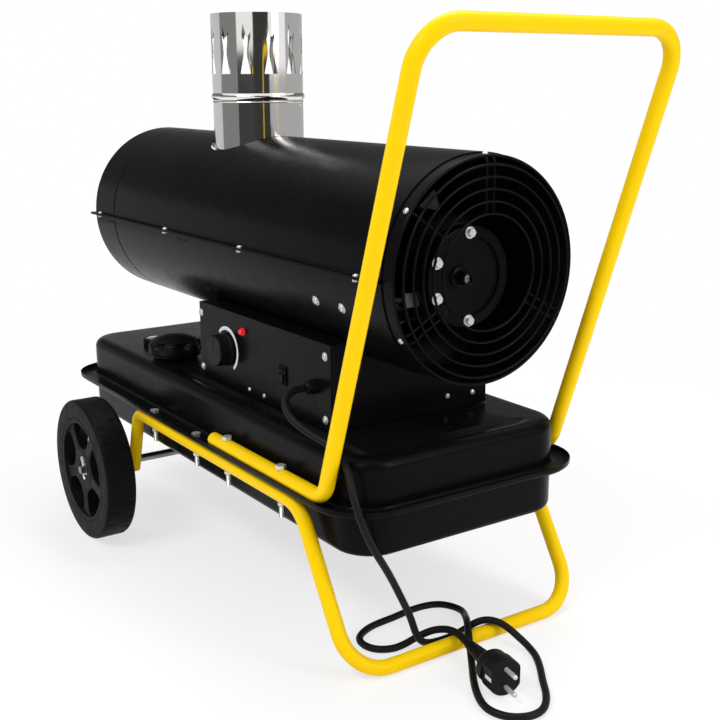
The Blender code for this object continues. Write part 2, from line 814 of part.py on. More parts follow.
def make_filler():
    root = (FILLER_X, FILLER_Y, 0.0)
    top = NECK_TOP_Z
    base = TANK_TOP_Z + GAP
    bottom = TANK_TOP_Z - NECK_DROP
    neck = turned("filler_neck",
                  [(NECK_R - NECK_WALL, top), (NECK_R - NECK_WALL, bottom), (NECK_R, bottom), (NECK_R, base),
                   (NECK_FLANGE_R, base), (NECK_FLANGE_R, base + THICK_SHEET), (NECK_R, base + THICK_SHEET),
                   (NECK_R, top)], root, (0, 0, 1), steps=20)
    place(neck, black_paint())

    outer = NECK_R - NECK_WALL - GAP
    inner = outer - SHEET
    low = top - STRAINER_DEPTH
    strainer = turned("filler_strainer",
                      [(NECK_R - SHEET, top + GAP), (NECK_R - SHEET, top + GAP + SHEET),
                       (inner, top + GAP + SHEET), (inner, low + SHEET),
                       (STRAINER_HOLE_R, low + SHEET), (STRAINER_HOLE_R, low),
                       (outer, low), (outer, top + GAP)], root, (0, 0, 1), steps=18)
    place(strainer, black_plastic())

    seal_z = top + 2 * GAP + SHEET
    seal = turned("cap_seal", [(SEAL_R, seal_z), (SEAL_R, seal_z + SEAL_H), (SEAL_HOLE_R, seal_z + SEAL_H),
                               (SEAL_HOLE_R, seal_z)], root, (0, 0, 1), steps=24)
    place(origin_at(seal, (FILLER_X, FILLER_Y, seal_z)), black_rubber())

    cap_z = seal_z + SEAL_H + GAP
    skirt_low = base + THICK_SHEET + CAP_STAND
    skirt_out = CAP_SKIRT_R + CAP_WALL
    root_share = 0.85
    crown_share = 0.77
    root_r = CAP_R * root_share
    crown_r = CAP_R * crown_share
    top_z = cap_z + CAP_TOP_H
    shoulder_z = cap_z + CAP_SHOULDER
    body = turned("filler_cap",
                  [(0.0, cap_z), (CAP_SKIRT_R, cap_z), (CAP_SKIRT_R, skirt_low), (skirt_out, skirt_low),
                   (skirt_out, shoulder_z), (root_r, shoulder_z + ROOT_IN), (root_r, top_z - CAP_ROUND),
                   (crown_r, top_z), (0.0, top_z)], root, (0, 0, 1), steps=16)
    lobe_share = 0.80
    lobe_r = CAP_R * sin(pi / CAP_LOBES) * lobe_share
    lobe_top = top_z - 2 * GAP
    lobe_low = cap_z - LOBE_DROP
    lobe_outline = [(0.0, lobe_low), (lobe_r, lobe_low), (lobe_r, lobe_top - LOBE_ROUND),
                    (lobe_r - LOBE_ROUND, lobe_top), (0.0, lobe_top)]
    lobes = []
    for i in range(CAP_LOBES):
        a = 2 * pi * i / CAP_LOBES
        x = FILLER_X + (CAP_R - lobe_r) * cos(a)
        y = FILLER_Y + (CAP_R - lobe_r) * sin(a)
        lobes.append(turned("lobe", lobe_outline, (x, y, 0.0), (0, 0, 1), steps=6))
    body = join(body, *lobes)
    body = cut(body, cylinder("well", CAP_SKIRT_R, (FILLER_X, FILLER_Y, skirt_low - CUT_PAST),
                              (FILLER_X, FILLER_Y, cap_z), sides=16))
    place(origin_at(outward(body), (FILLER_X, FILLER_Y, cap_z)), black_plastic())


def make_gauge():
    root = (GAUGE_X, GAUGE_Y, 0.0)
    base = TANK_TOP_Z + GAP
    side_share = 0.8
    rim_share = 0.9
    face_share = 0.8
    floor_share = 0.35
    top = base + GAUGE_H
    floor = base + GAUGE_H * floor_share
    bezel = turned("fuel_gauge",
                   [(GAUGE_R, base), (GAUGE_R, base + GAUGE_H * side_share), (GAUGE_R * rim_share, top),
                    (GAUGE_R * face_share, top), (GAUGE_R * face_share, floor), (GAUGE_BORE_R, floor),
                    (GAUGE_BORE_R, FORK_TOP_Z), (STEM_R, FORK_TOP_Z), (STEM_R, base)],
                   root, (0, 0, 1), steps=20)
    forks = [box("fork", (2 * STEM_R, FORK_T, FORK_TOP_Z - FLOAT_PIVOT_Z + 2 * FORK_T),
                 (GAUGE_X, GAUGE_Y + s * FORK_Y, (FORK_TOP_Z + FLOAT_PIVOT_Z) / 2)) for s in (-1, 1)]
    yoke_y = (FORK_Y + GAUGE_BORE_R) / 2
    yokes = [box("yoke", (STEM_R, FORK_Y - GAUGE_BORE_R, FORK_T),
                 (GAUGE_X, GAUGE_Y + s * yoke_y, FORK_TOP_Z + FORK_T / 4)) for s in (-1, 1)]
    pivot = cylinder("pivot", FLOAT_PIN_R + GAP, (GAUGE_X, GAUGE_Y - 2 * FORK_Y, FLOAT_PIVOT_Z),
                     (GAUGE_X, GAUGE_Y + 2 * FORK_Y, FLOAT_PIVOT_Z), sides=12)
    bezel = cut(join(bezel, *forks, *yokes), pivot)
    place(bezel, black_plastic())

    needle_z = floor + GAP
    lead_share = 0.3
    needle = box("gauge_needle", (NEEDLE_LEN, NEEDLE_W, NEEDLE_T),
                 (GAUGE_X + NEEDLE_LEN * lead_share, GAUGE_Y, needle_z + NEEDLE_T / 2))
    needle = join(needle, cylinder("post", NEEDLE_POST_R, (GAUGE_X, GAUGE_Y, FORK_TOP_Z),
                                   (GAUGE_X, GAUGE_Y, needle_z + NEEDLE_T / 2), sides=12))
    place(origin_at(needle, (GAUGE_X, GAUGE_Y, needle_z)), zinc())

    arm_x = GAUGE_X - FLOAT_ARM
    pin = cylinder("float_arm", FLOAT_PIN_R, (GAUGE_X, GAUGE_Y - FORK_Y - FORK_T, FLOAT_PIVOT_Z),
                   (GAUGE_X, GAUGE_Y + FORK_Y + FORK_T, FLOAT_PIVOT_Z), sides=12)
    arm = join(pin,
               box("rod", (FLOAT_ARM, FLOAT_ROD_T, FLOAT_ROD_T),
                   ((GAUGE_X + arm_x) / 2, GAUGE_Y, FLOAT_PIVOT_Z)),
               box("float", FLOAT_SIZE, (arm_x, GAUGE_Y, FLOAT_PIVOT_Z)))
    place(origin_at(arm, (GAUGE_X, GAUGE_Y, FLOAT_PIVOT_Z)), black_plastic())


# Frames

def make_lower_frame():
    top_z = TANK_FLANGE_Z - 2 * GAP - 2 * SHEET - TUBE_R
    half = FRAME_Y
    rear = Vector((AXLE_X, 0.0, WHEEL_R)) - Vector((REAR_BEND_X, 0.0, top_z))
    tail = Vector((AXLE_X, 0.0, WHEEL_R)) + rear.normalized() * TUBE_END_PAST
    side = [(tail.x, tail.z), (REAR_BEND_X, top_z), (LEG_TOP_X, top_z), (FOOT_BAR_X, TUBE_R)]
    left = [(x, -half, z) for x, z in side]
    right = [(x, half, z) for x, z in reversed(side)]
    radii = (REAR_BEND_R, LEG_BEND_R, FOOT_CORNER_R, FOOT_CORNER_R, LEG_BEND_R, REAR_BEND_R)
    frame = outward(bake(tube("lower_frame", rounded_path(left + right, radii), TUBE_R, 3)))
    reach = TUBE_R + CUT_PAST
    holes = [cylinder("hole", AXLE_R + GAP, (AXLE_X, s * half - reach, WHEEL_R),
                      (AXLE_X, s * half + reach, WHEEL_R), sides=16) for s in (-1, 1)]
    frame = cut(frame, *holes, *bolt_holes(top_z - reach, top_z + reach))
    place(frame, yellow_paint())


def make_handle():
    foot_z = TANK_FLANGE_Z + SHEET + GAP + TUBE_R
    side = [(HANDLE_FOOT_X, foot_z), (HANDLE_BEND_X, foot_z), HANDLE_TOP]
    left = [(x, -FRAME_Y, z) for x, z in side]
    right = [(x, FRAME_Y, z) for x, z in reversed(side)]
    radii = (HANDLE_BEND_R, HANDLE_CORNER_R, HANDLE_CORNER_R, HANDLE_BEND_R)
    handle = outward(bake(tube("handle_frame", rounded_path(left + right, radii), TUBE_R, 3)))
    reach = TUBE_R + CUT_PAST
    handle = cut(handle, *bolt_holes(foot_z - reach, foot_z + reach, long_only=True))
    place(handle, yellow_paint())


def make_frame_bolts():
    nut_top = TANK_FLANGE_Z - 3 * GAP - 2 * SHEET - 2 * TUBE_R
    for number, (x, side, is_long) in enumerate(bolt_places(), 1):
        seat = TANK_FLANGE_Z + SHEET + GAP
        if is_long:
            seat += 2 * TUBE_R + GAP
        y = side * FRAME_Y
        bolt = cylinder(f"frame_bolt_{number}", BOLT_R, (x, y, BOLT_END_Z), (x, y, seat + BOLT_HEAD_H / 2),
                        sides=6)
        head = hexagon("head", BOLT_HEAD_R, (x, y, seat), (x, y, seat + BOLT_HEAD_H))
        nut = hexagon("nut", BOLT_HEAD_R, (x, y, nut_top - NUT_H), (x, y, nut_top), turn=radians(15))
        place(join(bolt, head, nut), zinc())


# Wheels

def make_wheel(side, name):
    centre = (AXLE_X, 0.0, WHEEL_R)
    axis = (0.0, side, 0.0)
    high = WHEEL_FACE_Y
    low = high - TYRE_W
    mid = (high + low) / 2
    shoulder = TYRE_SHOULDER
    face = high - RIM_SET
    rim_r = WHEEL_R - TYRE_H
    tyre = turned(f"tyre_{name}",
                  [(rim_r + GAP, low + shoulder), (WHEEL_R - shoulder, low), (WHEEL_R, low + shoulder),
                   (WHEEL_R, high - shoulder), (WHEEL_R - shoulder, high), (rim_r + GAP, face)],
                  centre, axis, steps=32)
    place(origin_at(tyre, (AXLE_X, side * mid, WHEEL_R)), black_rubber())

    bore = AXLE_R + GAP
    inner_r = rim_r - RIM_BAND
    web_out = face - WEB_SET
    web_in = web_out - WEB_T
    web_y = side * (web_out + web_in) / 2
    rim = turned(f"wheel_{name}",
                 [(rim_r, low + shoulder), (rim_r, face), (inner_r, face), (inner_r, web_out),
                  (bore, web_out), (bore, web_in), (inner_r, web_in),
                  (inner_r, low + shoulder)], centre, axis, steps=32)
    hub_high = high - HUB_SET
    hub_low = hub_high - HUB_LEN
    hub = cylinder("hub", HUB_R, (AXLE_X, side * hub_high, WHEEL_R), (AXLE_X, side * hub_low, WHEEL_R),
                   sides=20)
    bore_cut = cylinder("bore", bore, (AXLE_X, side * (hub_high + CUT_PAST), WHEEL_R),
                        (AXLE_X, side * (hub_low - CUT_PAST), WHEEL_R), sides=16)
    windows = [wheel_window(90.0 + (i + 0.5) * 360.0 / SPOKES, inner_r, web_y) for i in range(SPOKES)]
    rim = cut(join(cut(rim, *windows), hub), bore_cut)
    place(origin_at(outward(rim), (AXLE_X, side * mid, WHEEL_R)), black_plastic())
    make_split_pin(side * PIN_Y, name)


def wheel_window(middle, inner_r, y, wide=28.0, slim=15.0):
    """The cutter for one opening between two spokes, wide at the rim and slim at the hub, in degrees."""
    outline = arc((AXLE_X, WHEEL_R), inner_r - WINDOW_EDGE, middle - wide, middle + wide, 4)
    outline += arc((AXLE_X, WHEEL_R), HUB_R + WINDOW_FOOT, middle + slim, middle - slim, 1)
    return slab("window", outline, y - WEB_T, y + WEB_T)


def make_split_pin(y, name):
    top = WHEEL_R + AXLE_R + PIN_OVER
    bottom = WHEEL_R - AXLE_R - PIN_UNDER
    tip = (AXLE_X + PIN_TIP[0], y, bottom - PIN_TIP[1])
    pin = tube(f"split_pin_{name}", [(AXLE_X, y, top), (AXLE_X, y, bottom), tip], PIN_R, 1)
    turns = [2 * pi * k / 10 for k in range(10)]
    ring = [(AXLE_X + PIN_EYE_R * sin(a), y, top + PIN_EYE_R * (1.0 - cos(a))) for a in turns]
    eye = tube("eye", ring, PIN_R, 1, cyclic=True)
    place(join(outward(bake(pin)), outward(bake(eye))), zinc())


def slab(name, outline, y0, y1):
    """A straight solid with an outline of (x, z) points, between two y."""
    bm = bmesh.new()
    face = bm.faces.new([bm.verts.new((x, y0, z)) for x, z in outline])
    grown = bmesh.ops.extrude_face_region(bm, geom=[face])
    moved = [item for item in grown["geom"] if isinstance(item, bmesh.types.BMVert)]
    bmesh.ops.translate(bm, verts=moved, vec=(0.0, y1 - y0, 0.0))
    return mesh_object(name, bm)


def make_wheels():
    axle = cylinder("axle", AXLE_R, (AXLE_X, -AXLE_END_Y, WHEEL_R), (AXLE_X, AXLE_END_Y, WHEEL_R), sides=16)
    reach = AXLE_R + CUT_PAST
    holes = [cylinder("hole", PIN_R + GAP, (AXLE_X, s * PIN_Y, WHEEL_R - reach),
                      (AXLE_X, s * PIN_Y, WHEEL_R + reach), sides=8) for s in (-1, 1)]
    place(cut(axle, *holes), zinc())
    make_wheel(-1, "left")
    make_wheel(1, "right")


# Drum

def half_shell(name, side):
    """Half of the drum, bent from the lip at one side over to the lip at the other."""
    lip_z = GAP / 2 + SHEET
    reach = DRUM_R + SEAM_LIP
    start = degrees(asin(lip_z / DRUM_R))
    path = [(reach, lip_z)] + arc((0.0, 0.0), DRUM_R, start, 180.0 - start, 24) + [(-reach, lip_z)]
    path = [(y, DRUM_Z + side * z) for y, z in path]
    if side < 0:
        path.reverse()
    return outward(strip(name, path, DRUM_BACK_X, DRUM_FRONT_X, SHEET))


def make_drum():
    upper = half_shell("drum_upper", 1)
    upper = cut(upper, cylinder("hole", FLUE_R + FLUE_PLAY, (FLUE_X, 0.0, DRUM_Z),
                                (FLUE_X, 0.0, DRUM_TOP_Z + CUT_PAST), sides=40))
    place(upper, black_paint())

    lower = half_shell("drum_lower", -1)
    slots = [box("slot", SLOT_SIZE, (x, s * DRUM_R, DRUM_Z - SLOT_DROP)) for x in SLOT_XS for s in (-1, 1)]
    place(cut(lower, *slots), black_paint())

    inside = DRUM_R - SHEET - GAP
    end = DRUM_BACK_X - GAP
    bead = [(DRUM_R - RING_BEAD_R + RING_BEAD_R * cos(a), end - RING_BEAD_R + RING_BEAD_R * sin(a))
            for a in [radians(90 - 90 * k) for k in range(3)]]
    ring = turned("outlet_ring", [(inside, DRUM_BACK_X + RING_SLEEVE), (inside, end)] + bead
                  + [(inside - SHEET, DRUM_BACK_X + RING_SLEEVE)], (0.0, 0.0, DRUM_Z), (1, 0, 0), steps=48)
    place(ring, black_paint())

    edge = SHROUD_FRONT_X
    tail = DRUM_FRONT_X - SHROUD_SLEEVE
    shroud = turned("fan_shroud",
                    [(inside, tail), (inside, edge - SHEET), (inside - SHEET / 2, edge),
                     (inside - SHEET, edge), (inside - SHEET, tail)],
                    (0.0, 0.0, DRUM_Z), (1, 0, 0), steps=48)
    place(shroud, black_paint())


# Flue

def flame_rows(middle):
    """Left and right edge of one flame cut-out, row by row, as (angle, z), and its tip."""
    rows = 4
    left = []
    right = []
    for i in range(rows):
        t = i / rows
        half = FLAME_HALF * (1.0 - t) ** 0.75 * (1.0 + 0.35 * sin(2.2 * pi * t))
        z = FLAME_FOOT_Z + (FLAME_TIP_Z - FLAME_FOOT_Z) * t
        left.append((middle + (flame_sway(t) - half) / FLUE_R, z))
        right.append((middle + (flame_sway(t) + half) / FLUE_R, z))
    return left, right, (middle + flame_sway(1.0) / FLUE_R, FLAME_TIP_Z)


def flame_sway(t):
    return FLAME_HALF * (0.55 * sin(2.0 * pi * t) * t + 0.25 * t * t)


def flame_cutter(middle):
    """A wavy tapering tongue that passes through the flue wall."""
    bm = bmesh.new()
    left, right, tip = flame_rows(middle)
    skins = []
    for radius in (FLUE_R - CUT_PAST, FLUE_R + CUT_PAST):
        skins.append([[bm.verts.new((FLUE_X + radius * cos(a), radius * sin(a), z)) for a, z in line]
                      for line in (left, right, [tip])])
    for lefts, rights, tips in skins:
        for i in range(len(left) - 1):
            bm.faces.new((lefts[i], rights[i], rights[i + 1], lefts[i + 1]))
        bm.faces.new((lefts[-1], rights[-1], tips[0]))
    rims = [lefts + tips + rights[::-1] for lefts, rights, tips in skins]
    for near, far, near_next, far_next in zip(*rims, rims[0][1:] + rims[0][:1], rims[1][1:] + rims[1][:1]):
        bm.faces.new((near, far, far_next, near_next))
    return mesh_object("flame", bm)


def make_flue():
    root = (FLUE_X, 0.0, 0.0)
    wall = FLUE_WALL
    inner = FLUE_R - wall
    neck = inner - GAP
    joint = FLUE_JOINT_Z
    foot = DRUM_TOP_Z - FLUE_SINK
    top = joint + COLLAR_H
    step = joint - 2 * BEAD_R
    bead_share = 0.7
    pipe = turned("flue_pipe",
                  [(FLUE_R, foot), (FLUE_R, step), (FLUE_R + BEAD_R * bead_share, joint - BEAD_R),
                   (FLUE_R, joint - GAP), (neck, joint - GAP),
                   (neck, joint + COUPLING), (neck - wall, joint + COUPLING),
                   (neck - wall, step), (inner, step), (inner, foot)], root, (0, 0, 1), steps=36)
    place(pipe, stainless())

    collar = turned("flue_collar",
                    [(FLUE_R, joint), (FLUE_R, top), (inner, top), (inner, joint)],
                    root, (0, 0, 1), steps=36)
    cutters = [flame_cutter(radians(FLAME_TURN) + 2 * pi * k / FLAMES) for k in range(FLAMES)]
    place(cut(collar, *cutters), stainless())


# Control box

def end_wall_outline():
    """Outline of the box seen along X: its top follows the round belly of the drum."""
    seat_r = DRUM_R + GAP
    drop = DRUM_Z - BOX_Z1
    half = BOX_HALF_Y - PANEL_INSET
    meet = sqrt(seat_r ** 2 - drop ** 2)
    start = degrees(atan2(-drop, meet))
    return ([(-half, BOX_Z0), (half, BOX_Z0), (half, BOX_Z1)]
            + arc((0.0, DRUM_Z), seat_r, start, -180.0 - start, 16) + [(-half, BOX_Z1)])


def make_box():
    half = BOX_HALF_Y - PANEL_INSET
    length = BOX_X1 - BOX_X0
    middle = Vector(((BOX_X0 + BOX_X1) / 2, 0.0, (BOX_Z0 + BOX_Z1) / 2))
    height = BOX_Z1 - BOX_Z0
    base = prism("base_box", end_wall_outline(), BOX_X0, BOX_X1)
    cavity = box("cavity", (length - 2 * SHEET, 2 * (half - SHEET), height - 2 * SHEET), middle)
    sides = box("sides", (length - 2 * BOX_RIM, 3 * half, height - 2 * BOX_RIM), middle)
    place(outward(cut(base, cavity, sides)), black_paint())

    for side, name in ((-1, "control_panel"), (1, "service_cover")):
        y = side * (half + GAP + SHEET / 2)
        plate = box(name, (length, SHEET, height), (middle.x, y, middle.z))
        if side < 0:
            plate = cut(plate, *panel_holes())
        place(plate, black_paint())


def through_panel(radius, x, z, sides=24):
    y = -BOX_HALF_Y
    return cylinder("hole", radius, (x, y - CUT_PAST, z), (x, y + CUT_PAST, z), sides=sides)


def panel_holes():
    width, height = SWITCH_SIZE
    window = box("window", (width - 2 * SWITCH_EDGE, 2 * CUT_PAST, height - 2 * SWITCH_EDGE),
                 (SWITCH_X, -BOX_HALF_Y, SWITCH_Z))
    return [through_panel(KNOB_SHAFT_R + 2 * GAP, KNOB_X, KNOB_Z, 16), through_panel(LAMP_R, LAMP_X, LAMP_Z),
            through_panel(GLAND_THREAD_R + GAP, GLAND_X, GLAND_Z), window]


def panel_faces():
    """Outer and inner y of the control panel's sheet."""
    inner = -(BOX_HALF_Y - PANEL_INSET + GAP)
    return inner - SHEET, inner


def make_thermostat():
    front, back = panel_faces()
    behind = back + SHEET + 2 * GAP
    body = cylinder("thermostat", THERMOSTAT_R, (KNOB_X, behind, KNOB_Z),
                    (KNOB_X, behind + THERMOSTAT_H, KNOB_Z), sides=24)
    body = cut(body, cylinder("bore", KNOB_SHAFT_R + GAP, (KNOB_X, behind - CUT_PAST, KNOB_Z),
                              (KNOB_X, behind + THERMOSTAT_H / 2, KNOB_Z), sides=16))
    place(body, black_plastic())

    face = front - GAP
    crown_share = 0.88
    edge_share = 0.94
    foot_share = 0.97
    knob = turned("thermostat_knob",
                  [(0.0, KNOB_H), (KNOB_R * crown_share, KNOB_H), (KNOB_R * edge_share, KNOB_H - KNOB_ROUND),
                   (KNOB_R * foot_share, KNOB_FLANGE_H), (KNOB_R, KNOB_FLANGE_H), (KNOB_R, 0.0),
                   (KNOB_SHAFT_R, 0.0), (KNOB_SHAFT_R, -KNOB_SHAFT_LEN), (0.0, -KNOB_SHAFT_LEN)],
                  (KNOB_X, face, KNOB_Z), (0, -1, 0), steps=24)
    pointer = box("pointer", (POINTER_W, 2 * POINTER_DEPTH, KNOB_R),
                  (KNOB_X, face - KNOB_H, KNOB_Z + KNOB_R / 2))
    knob = cut(knob, pointer)
    place(origin_at(outward(knob), (KNOB_X, face, KNOB_Z)), black_plastic())


def make_lamp():
    front, _ = panel_faces()
    outline_shares = ((0.60, 0.87), (0.95, 0.50), (1.15, 0.20))
    dome = [(LAMP_R * out, LAMP_H * up) for out, up in outline_shares]
    neck_r = LAMP_R - GAP
    body = [(dome[-1][0], GAP), (neck_r, GAP), (neck_r, -LAMP_BODY_LEN), (0.0, -LAMP_BODY_LEN)]
    lamp = turned("indicator_lamp", [(0.0, LAMP_H)] + dome + body, (LAMP_X, front, LAMP_Z), (0, -1, 0),
                  steps=16)
    place(lamp, material("red_lens", RED, 0.15))


def make_switch():
    front, _ = panel_faces()
    width, height = SWITCH_SIZE
    middle = front - GAP - BEZEL_T / 2
    shell = box("switch_body", (width, BEZEL_T, height), (SWITCH_X, middle, SWITCH_Z))
    shell = join(shell, box("case", (width - 2 * CASE_EDGE, SWITCH_DEPTH, height - 2 * CASE_EDGE),
                            (SWITCH_X, middle + SWITCH_DEPTH / 2, SWITCH_Z)))
    rocker_w, rocker_h = ROCKER_SIZE
    shell = cut(shell, box("well", (rocker_w + 4 * GAP, 2 * WELL_DEPTH, rocker_h + 2 * ROCKER_PLAY),
                           (SWITCH_X, front, SWITCH_Z)))
    place(shell, black_plastic())

    pivot = Vector((SWITCH_X, front - ROCKER_SET, SWITCH_Z))
    half = Vector((rocker_w / 2, 0.0, 0.0))
    rocker = cylinder("rocker", ROCKER_R, pivot - half, pivot + half, sides=28)
    block = (2 * rocker_w, 2 * ROCKER_R, 3 * ROCKER_R)
    rocker = cut(rocker, box("back", block, pivot + Vector((0.0, ROCKER_BACK + ROCKER_R, 0.0))),
                 box("face", block, pivot - Vector((0.0, ROCKER_FACE + ROCKER_R, 0.0))),
                 box("dish", (2 * rocker_w, *DISH_SIZE), pivot + Vector((0.0, *DISH_AT)),
                     Matrix.Rotation(radians(14), 4, "X")))
    place(origin_at(rocker, pivot), black_plastic())


def make_gland():
    front, _ = panel_faces()
    start = front - GAP
    nut_share = 0.45
    dome_share = 0.86
    mouth_share = 1.35
    nut_end = start - GLAND_LEN * nut_share
    gland = hexagon("cable_gland", GLAND_R, (GLAND_X, start, GLAND_Z), (GLAND_X, nut_end, GLAND_Z))
    gland = join(gland,
                 cylinder("dome", GLAND_R * dome_share, (GLAND_X, nut_end + GAP, GLAND_Z),
                          (GLAND_X, start - GLAND_LEN, GLAND_Z), sides=18, radius2=CORD_R * mouth_share),
                 cylinder("thread", GLAND_THREAD_R, (GLAND_X, start - ROOT_IN, GLAND_Z),
                          (GLAND_X, start + GLAND_THREAD_LEN, GLAND_Z), sides=18))
    place(gland, black_plastic())


def make_electrics():
    floor = BOX_Z0 + SHEET
    board = box("control_board", BOARD_SIZE, (BOARD_X, BOARD_Y, floor + BOARD_LIFT))
    parts = []
    for size, (x, y) in ((RELAY_SIZE, RELAY_AT), (BLOCK_SIZE, BLOCK_AT), (CHOKE_SIZE, CHOKE_AT)):
        parts.append(box("component", size, (BOARD_X + x, BOARD_Y + y, floor + BOARD_LIFT + size[2] / 2)))
    leg_x = BOARD_SIZE[0] / 2 - BOARD_LEG_INSET
    leg_y = BOARD_SIZE[1] / 2 - BOARD_LEG_INSET
    parts += [cylinder("leg", BOARD_LEG_R, (BOARD_X + sx * leg_x, BOARD_Y + sy * leg_y, floor + GAP),
                       (BOARD_X + sx * leg_x, BOARD_Y + sy * leg_y, floor + BOARD_LIFT), sides=8)
              for sx in (-1, 1) for sy in (-1, 1)]
    place(join(board, *parts), material("board_green", BOARD_GREEN, 0.5))

    size = TRANSFORMER_SIZE
    centre = (TRANSFORMER_X, TRANSFORMER_Y, floor + GAP + size[2] / 2)
    coil = box("ignition_transformer", size, centre)
    end = TRANSFORMER_X + size[0] / 2
    terminals = [cylinder("terminal", TERMINAL_R, (end - ROOT_IN, TRANSFORMER_Y + s * TERMINAL_Y, centre[2]),
                          (end + TERMINAL_LEN, TRANSFORMER_Y + s * TERMINAL_Y, centre[2]), sides=12)
                 for s in (-1, 1)]
    place(join(coil, *terminals), black_plastic())


# Fan end

def guard_wire(out, across, shift, low):
    """One straight wire that ends tucked back inside the shroud."""
    behind = GUARD_X - GUARD_WIRE_R * 1.5
    reach = DRUM_R - 2 * SHEET - GAP - GUARD_WIRE_R - GUARD_PLAY
    origin = Vector((behind, 0.0, DRUM_Z)) + across * shift
    end = origin + out * reach
    path = [origin + out * low, end, Vector((SHROUD_FRONT_X - GUARD_TUCK, end.y, end.z))]
    return outward(bake(tube("spoke", path, GUARD_WIRE_R, 0)))


def make_guard():
    radii = [DRUM_R * share for share in GUARD_RING_SHARES]
    rings = []
    for radius in radii:
        count = 24 if radius < radii[2] else 30
        points = [(GUARD_X, radius * cos(2 * pi * k / count), DRUM_Z + radius * sin(2 * pi * k / count))
                  for k in range(count)]
        rings.append(outward(bake(tube("fan_guard", points, GUARD_WIRE_R, 0, cyclic=True))))
    wires = []
    for angle in SPOKE_ANGLES + (SINGLE_ANGLE,):
        out = Vector((0.0, cos(radians(angle)), sin(radians(angle))))
        across = Vector((0.0, -out.z, out.y))
        if angle == SINGLE_ANGLE:
            wires.append(guard_wire(out, across, 0.0, radii[-1] - 2 * GUARD_WIRE_R))
        else:
            wires += [guard_wire(out, across, s * SPOKE_HALF, radii[-1] - GUARD_WIRE_R) for s in (-1, 1)]
    guard = join(rings[0], *wires)
    guard = join(guard, *rings[1:])
    guard.name = "fan_guard"
    place(guard, black_paint())


def make_motor():
    root = (0.0, 0.0, DRUM_Z)
    bore = SHAFT_R + GAP
    rim = MOTOR_RIM
    boss_share = 0.55
    shoulder_share = 0.62
    motor = turned("motor",
                   [(bore, MOTOR_X0), (MOTOR_R * boss_share, MOTOR_X0),
                    (MOTOR_R * shoulder_share, MOTOR_X0 + rim), (MOTOR_R - rim, MOTOR_X0 + 2 * rim),
                    (MOTOR_R, MOTOR_X0 + 3 * rim), (MOTOR_R, MOTOR_X1 - rim),
                    (MOTOR_R - rim, MOTOR_X1), (bore, MOTOR_X1)], root, (1, 0, 0), steps=24)
    place(motor, black_paint())

    seat = DRUM_Z - MOTOR_R - GAP - THICK_SHEET
    inside = DRUM_R - SHEET - 2 * GAP - THICK_SHEET
    foot_top = 186.0
    foot_low = 206.0
    path = arc((0.0, DRUM_Z), inside, foot_top, foot_low, 3)
    path += [(-BRACKET_HALF_Y, seat), (BRACKET_HALF_Y, seat)]
    path += arc((0.0, DRUM_Z), inside, 540.0 - foot_low, 540.0 - foot_top, 3)
    place(outward(strip("motor_bracket", path[::-1], BRACKET_X0, BRACKET_X1, THICK_SHEET)), zinc())

    shaft = turned("motor_shaft",
                   [(0.0, ROTOR_X1), (ROTOR_R, ROTOR_X1), (ROTOR_R, ROTOR_X0), (SHAFT_R, ROTOR_X0),
                    (SHAFT_R, SHAFT_BACK_X), (0.0, SHAFT_BACK_X)], root, (1, 0, 0), steps=24)
    place(origin_at(outward(shaft), (SHAFT_BACK_X, 0.0, DRUM_Z)), zinc())

    hub = turned("fan", [(bore, FAN_X0), (FAN_HUB_R, FAN_X0), (FAN_HUB_R, FAN_X1 - FAN_ROUND),
                         (FAN_HUB_R - FAN_ROUND, FAN_X1), (bore, FAN_X1)], root, (1, 0, 0), steps=24)
    fan = join(hub, *[fan_blade(2 * pi * k / FAN_BLADES) for k in range(FAN_BLADES)])
    place(origin_at(outward(fan), (FAN_X0, 0.0, DRUM_Z)), zinc())


def fan_blade(turn):
    """One twisted blade, lofted from rows of points at growing radius and then thickened."""
    bm = bmesh.new()
    rows = []
    levels = 3
    root = FAN_HUB_R - FAN_ROUND
    reach = DRUM_R - SHEET - FAN_PLAY - root
    half = (FAN_X1 - FAN_X0) / 2 - BLADE_INSET
    for i in range(levels + 1):
        t = i / levels
        radius = root + reach * t
        spread = 0.42 + 0.10 * sin(pi * t)
        depth = half * (1.0 - 0.35 * t)
        row = []
        for k in range(3):
            u = k - 1
            a = turn + u * spread + 0.25 * t
            x = (FAN_X0 + FAN_X1) / 2 + depth * u
            row.append(bm.verts.new((x, radius * cos(a), DRUM_Z + radius * sin(a))))
        rows.append(row)
    for low, high in zip(rows, rows[1:]):
        for k in range(2):
            bm.faces.new((low[k], low[k + 1], high[k + 1], high[k]))
    blade = mesh_object("blade", bm)
    solid = blade.modifiers.new("sheet", "SOLIDIFY")
    solid.thickness = BLADE_T
    solid.offset = 0.0
    return outward(bake(blade))


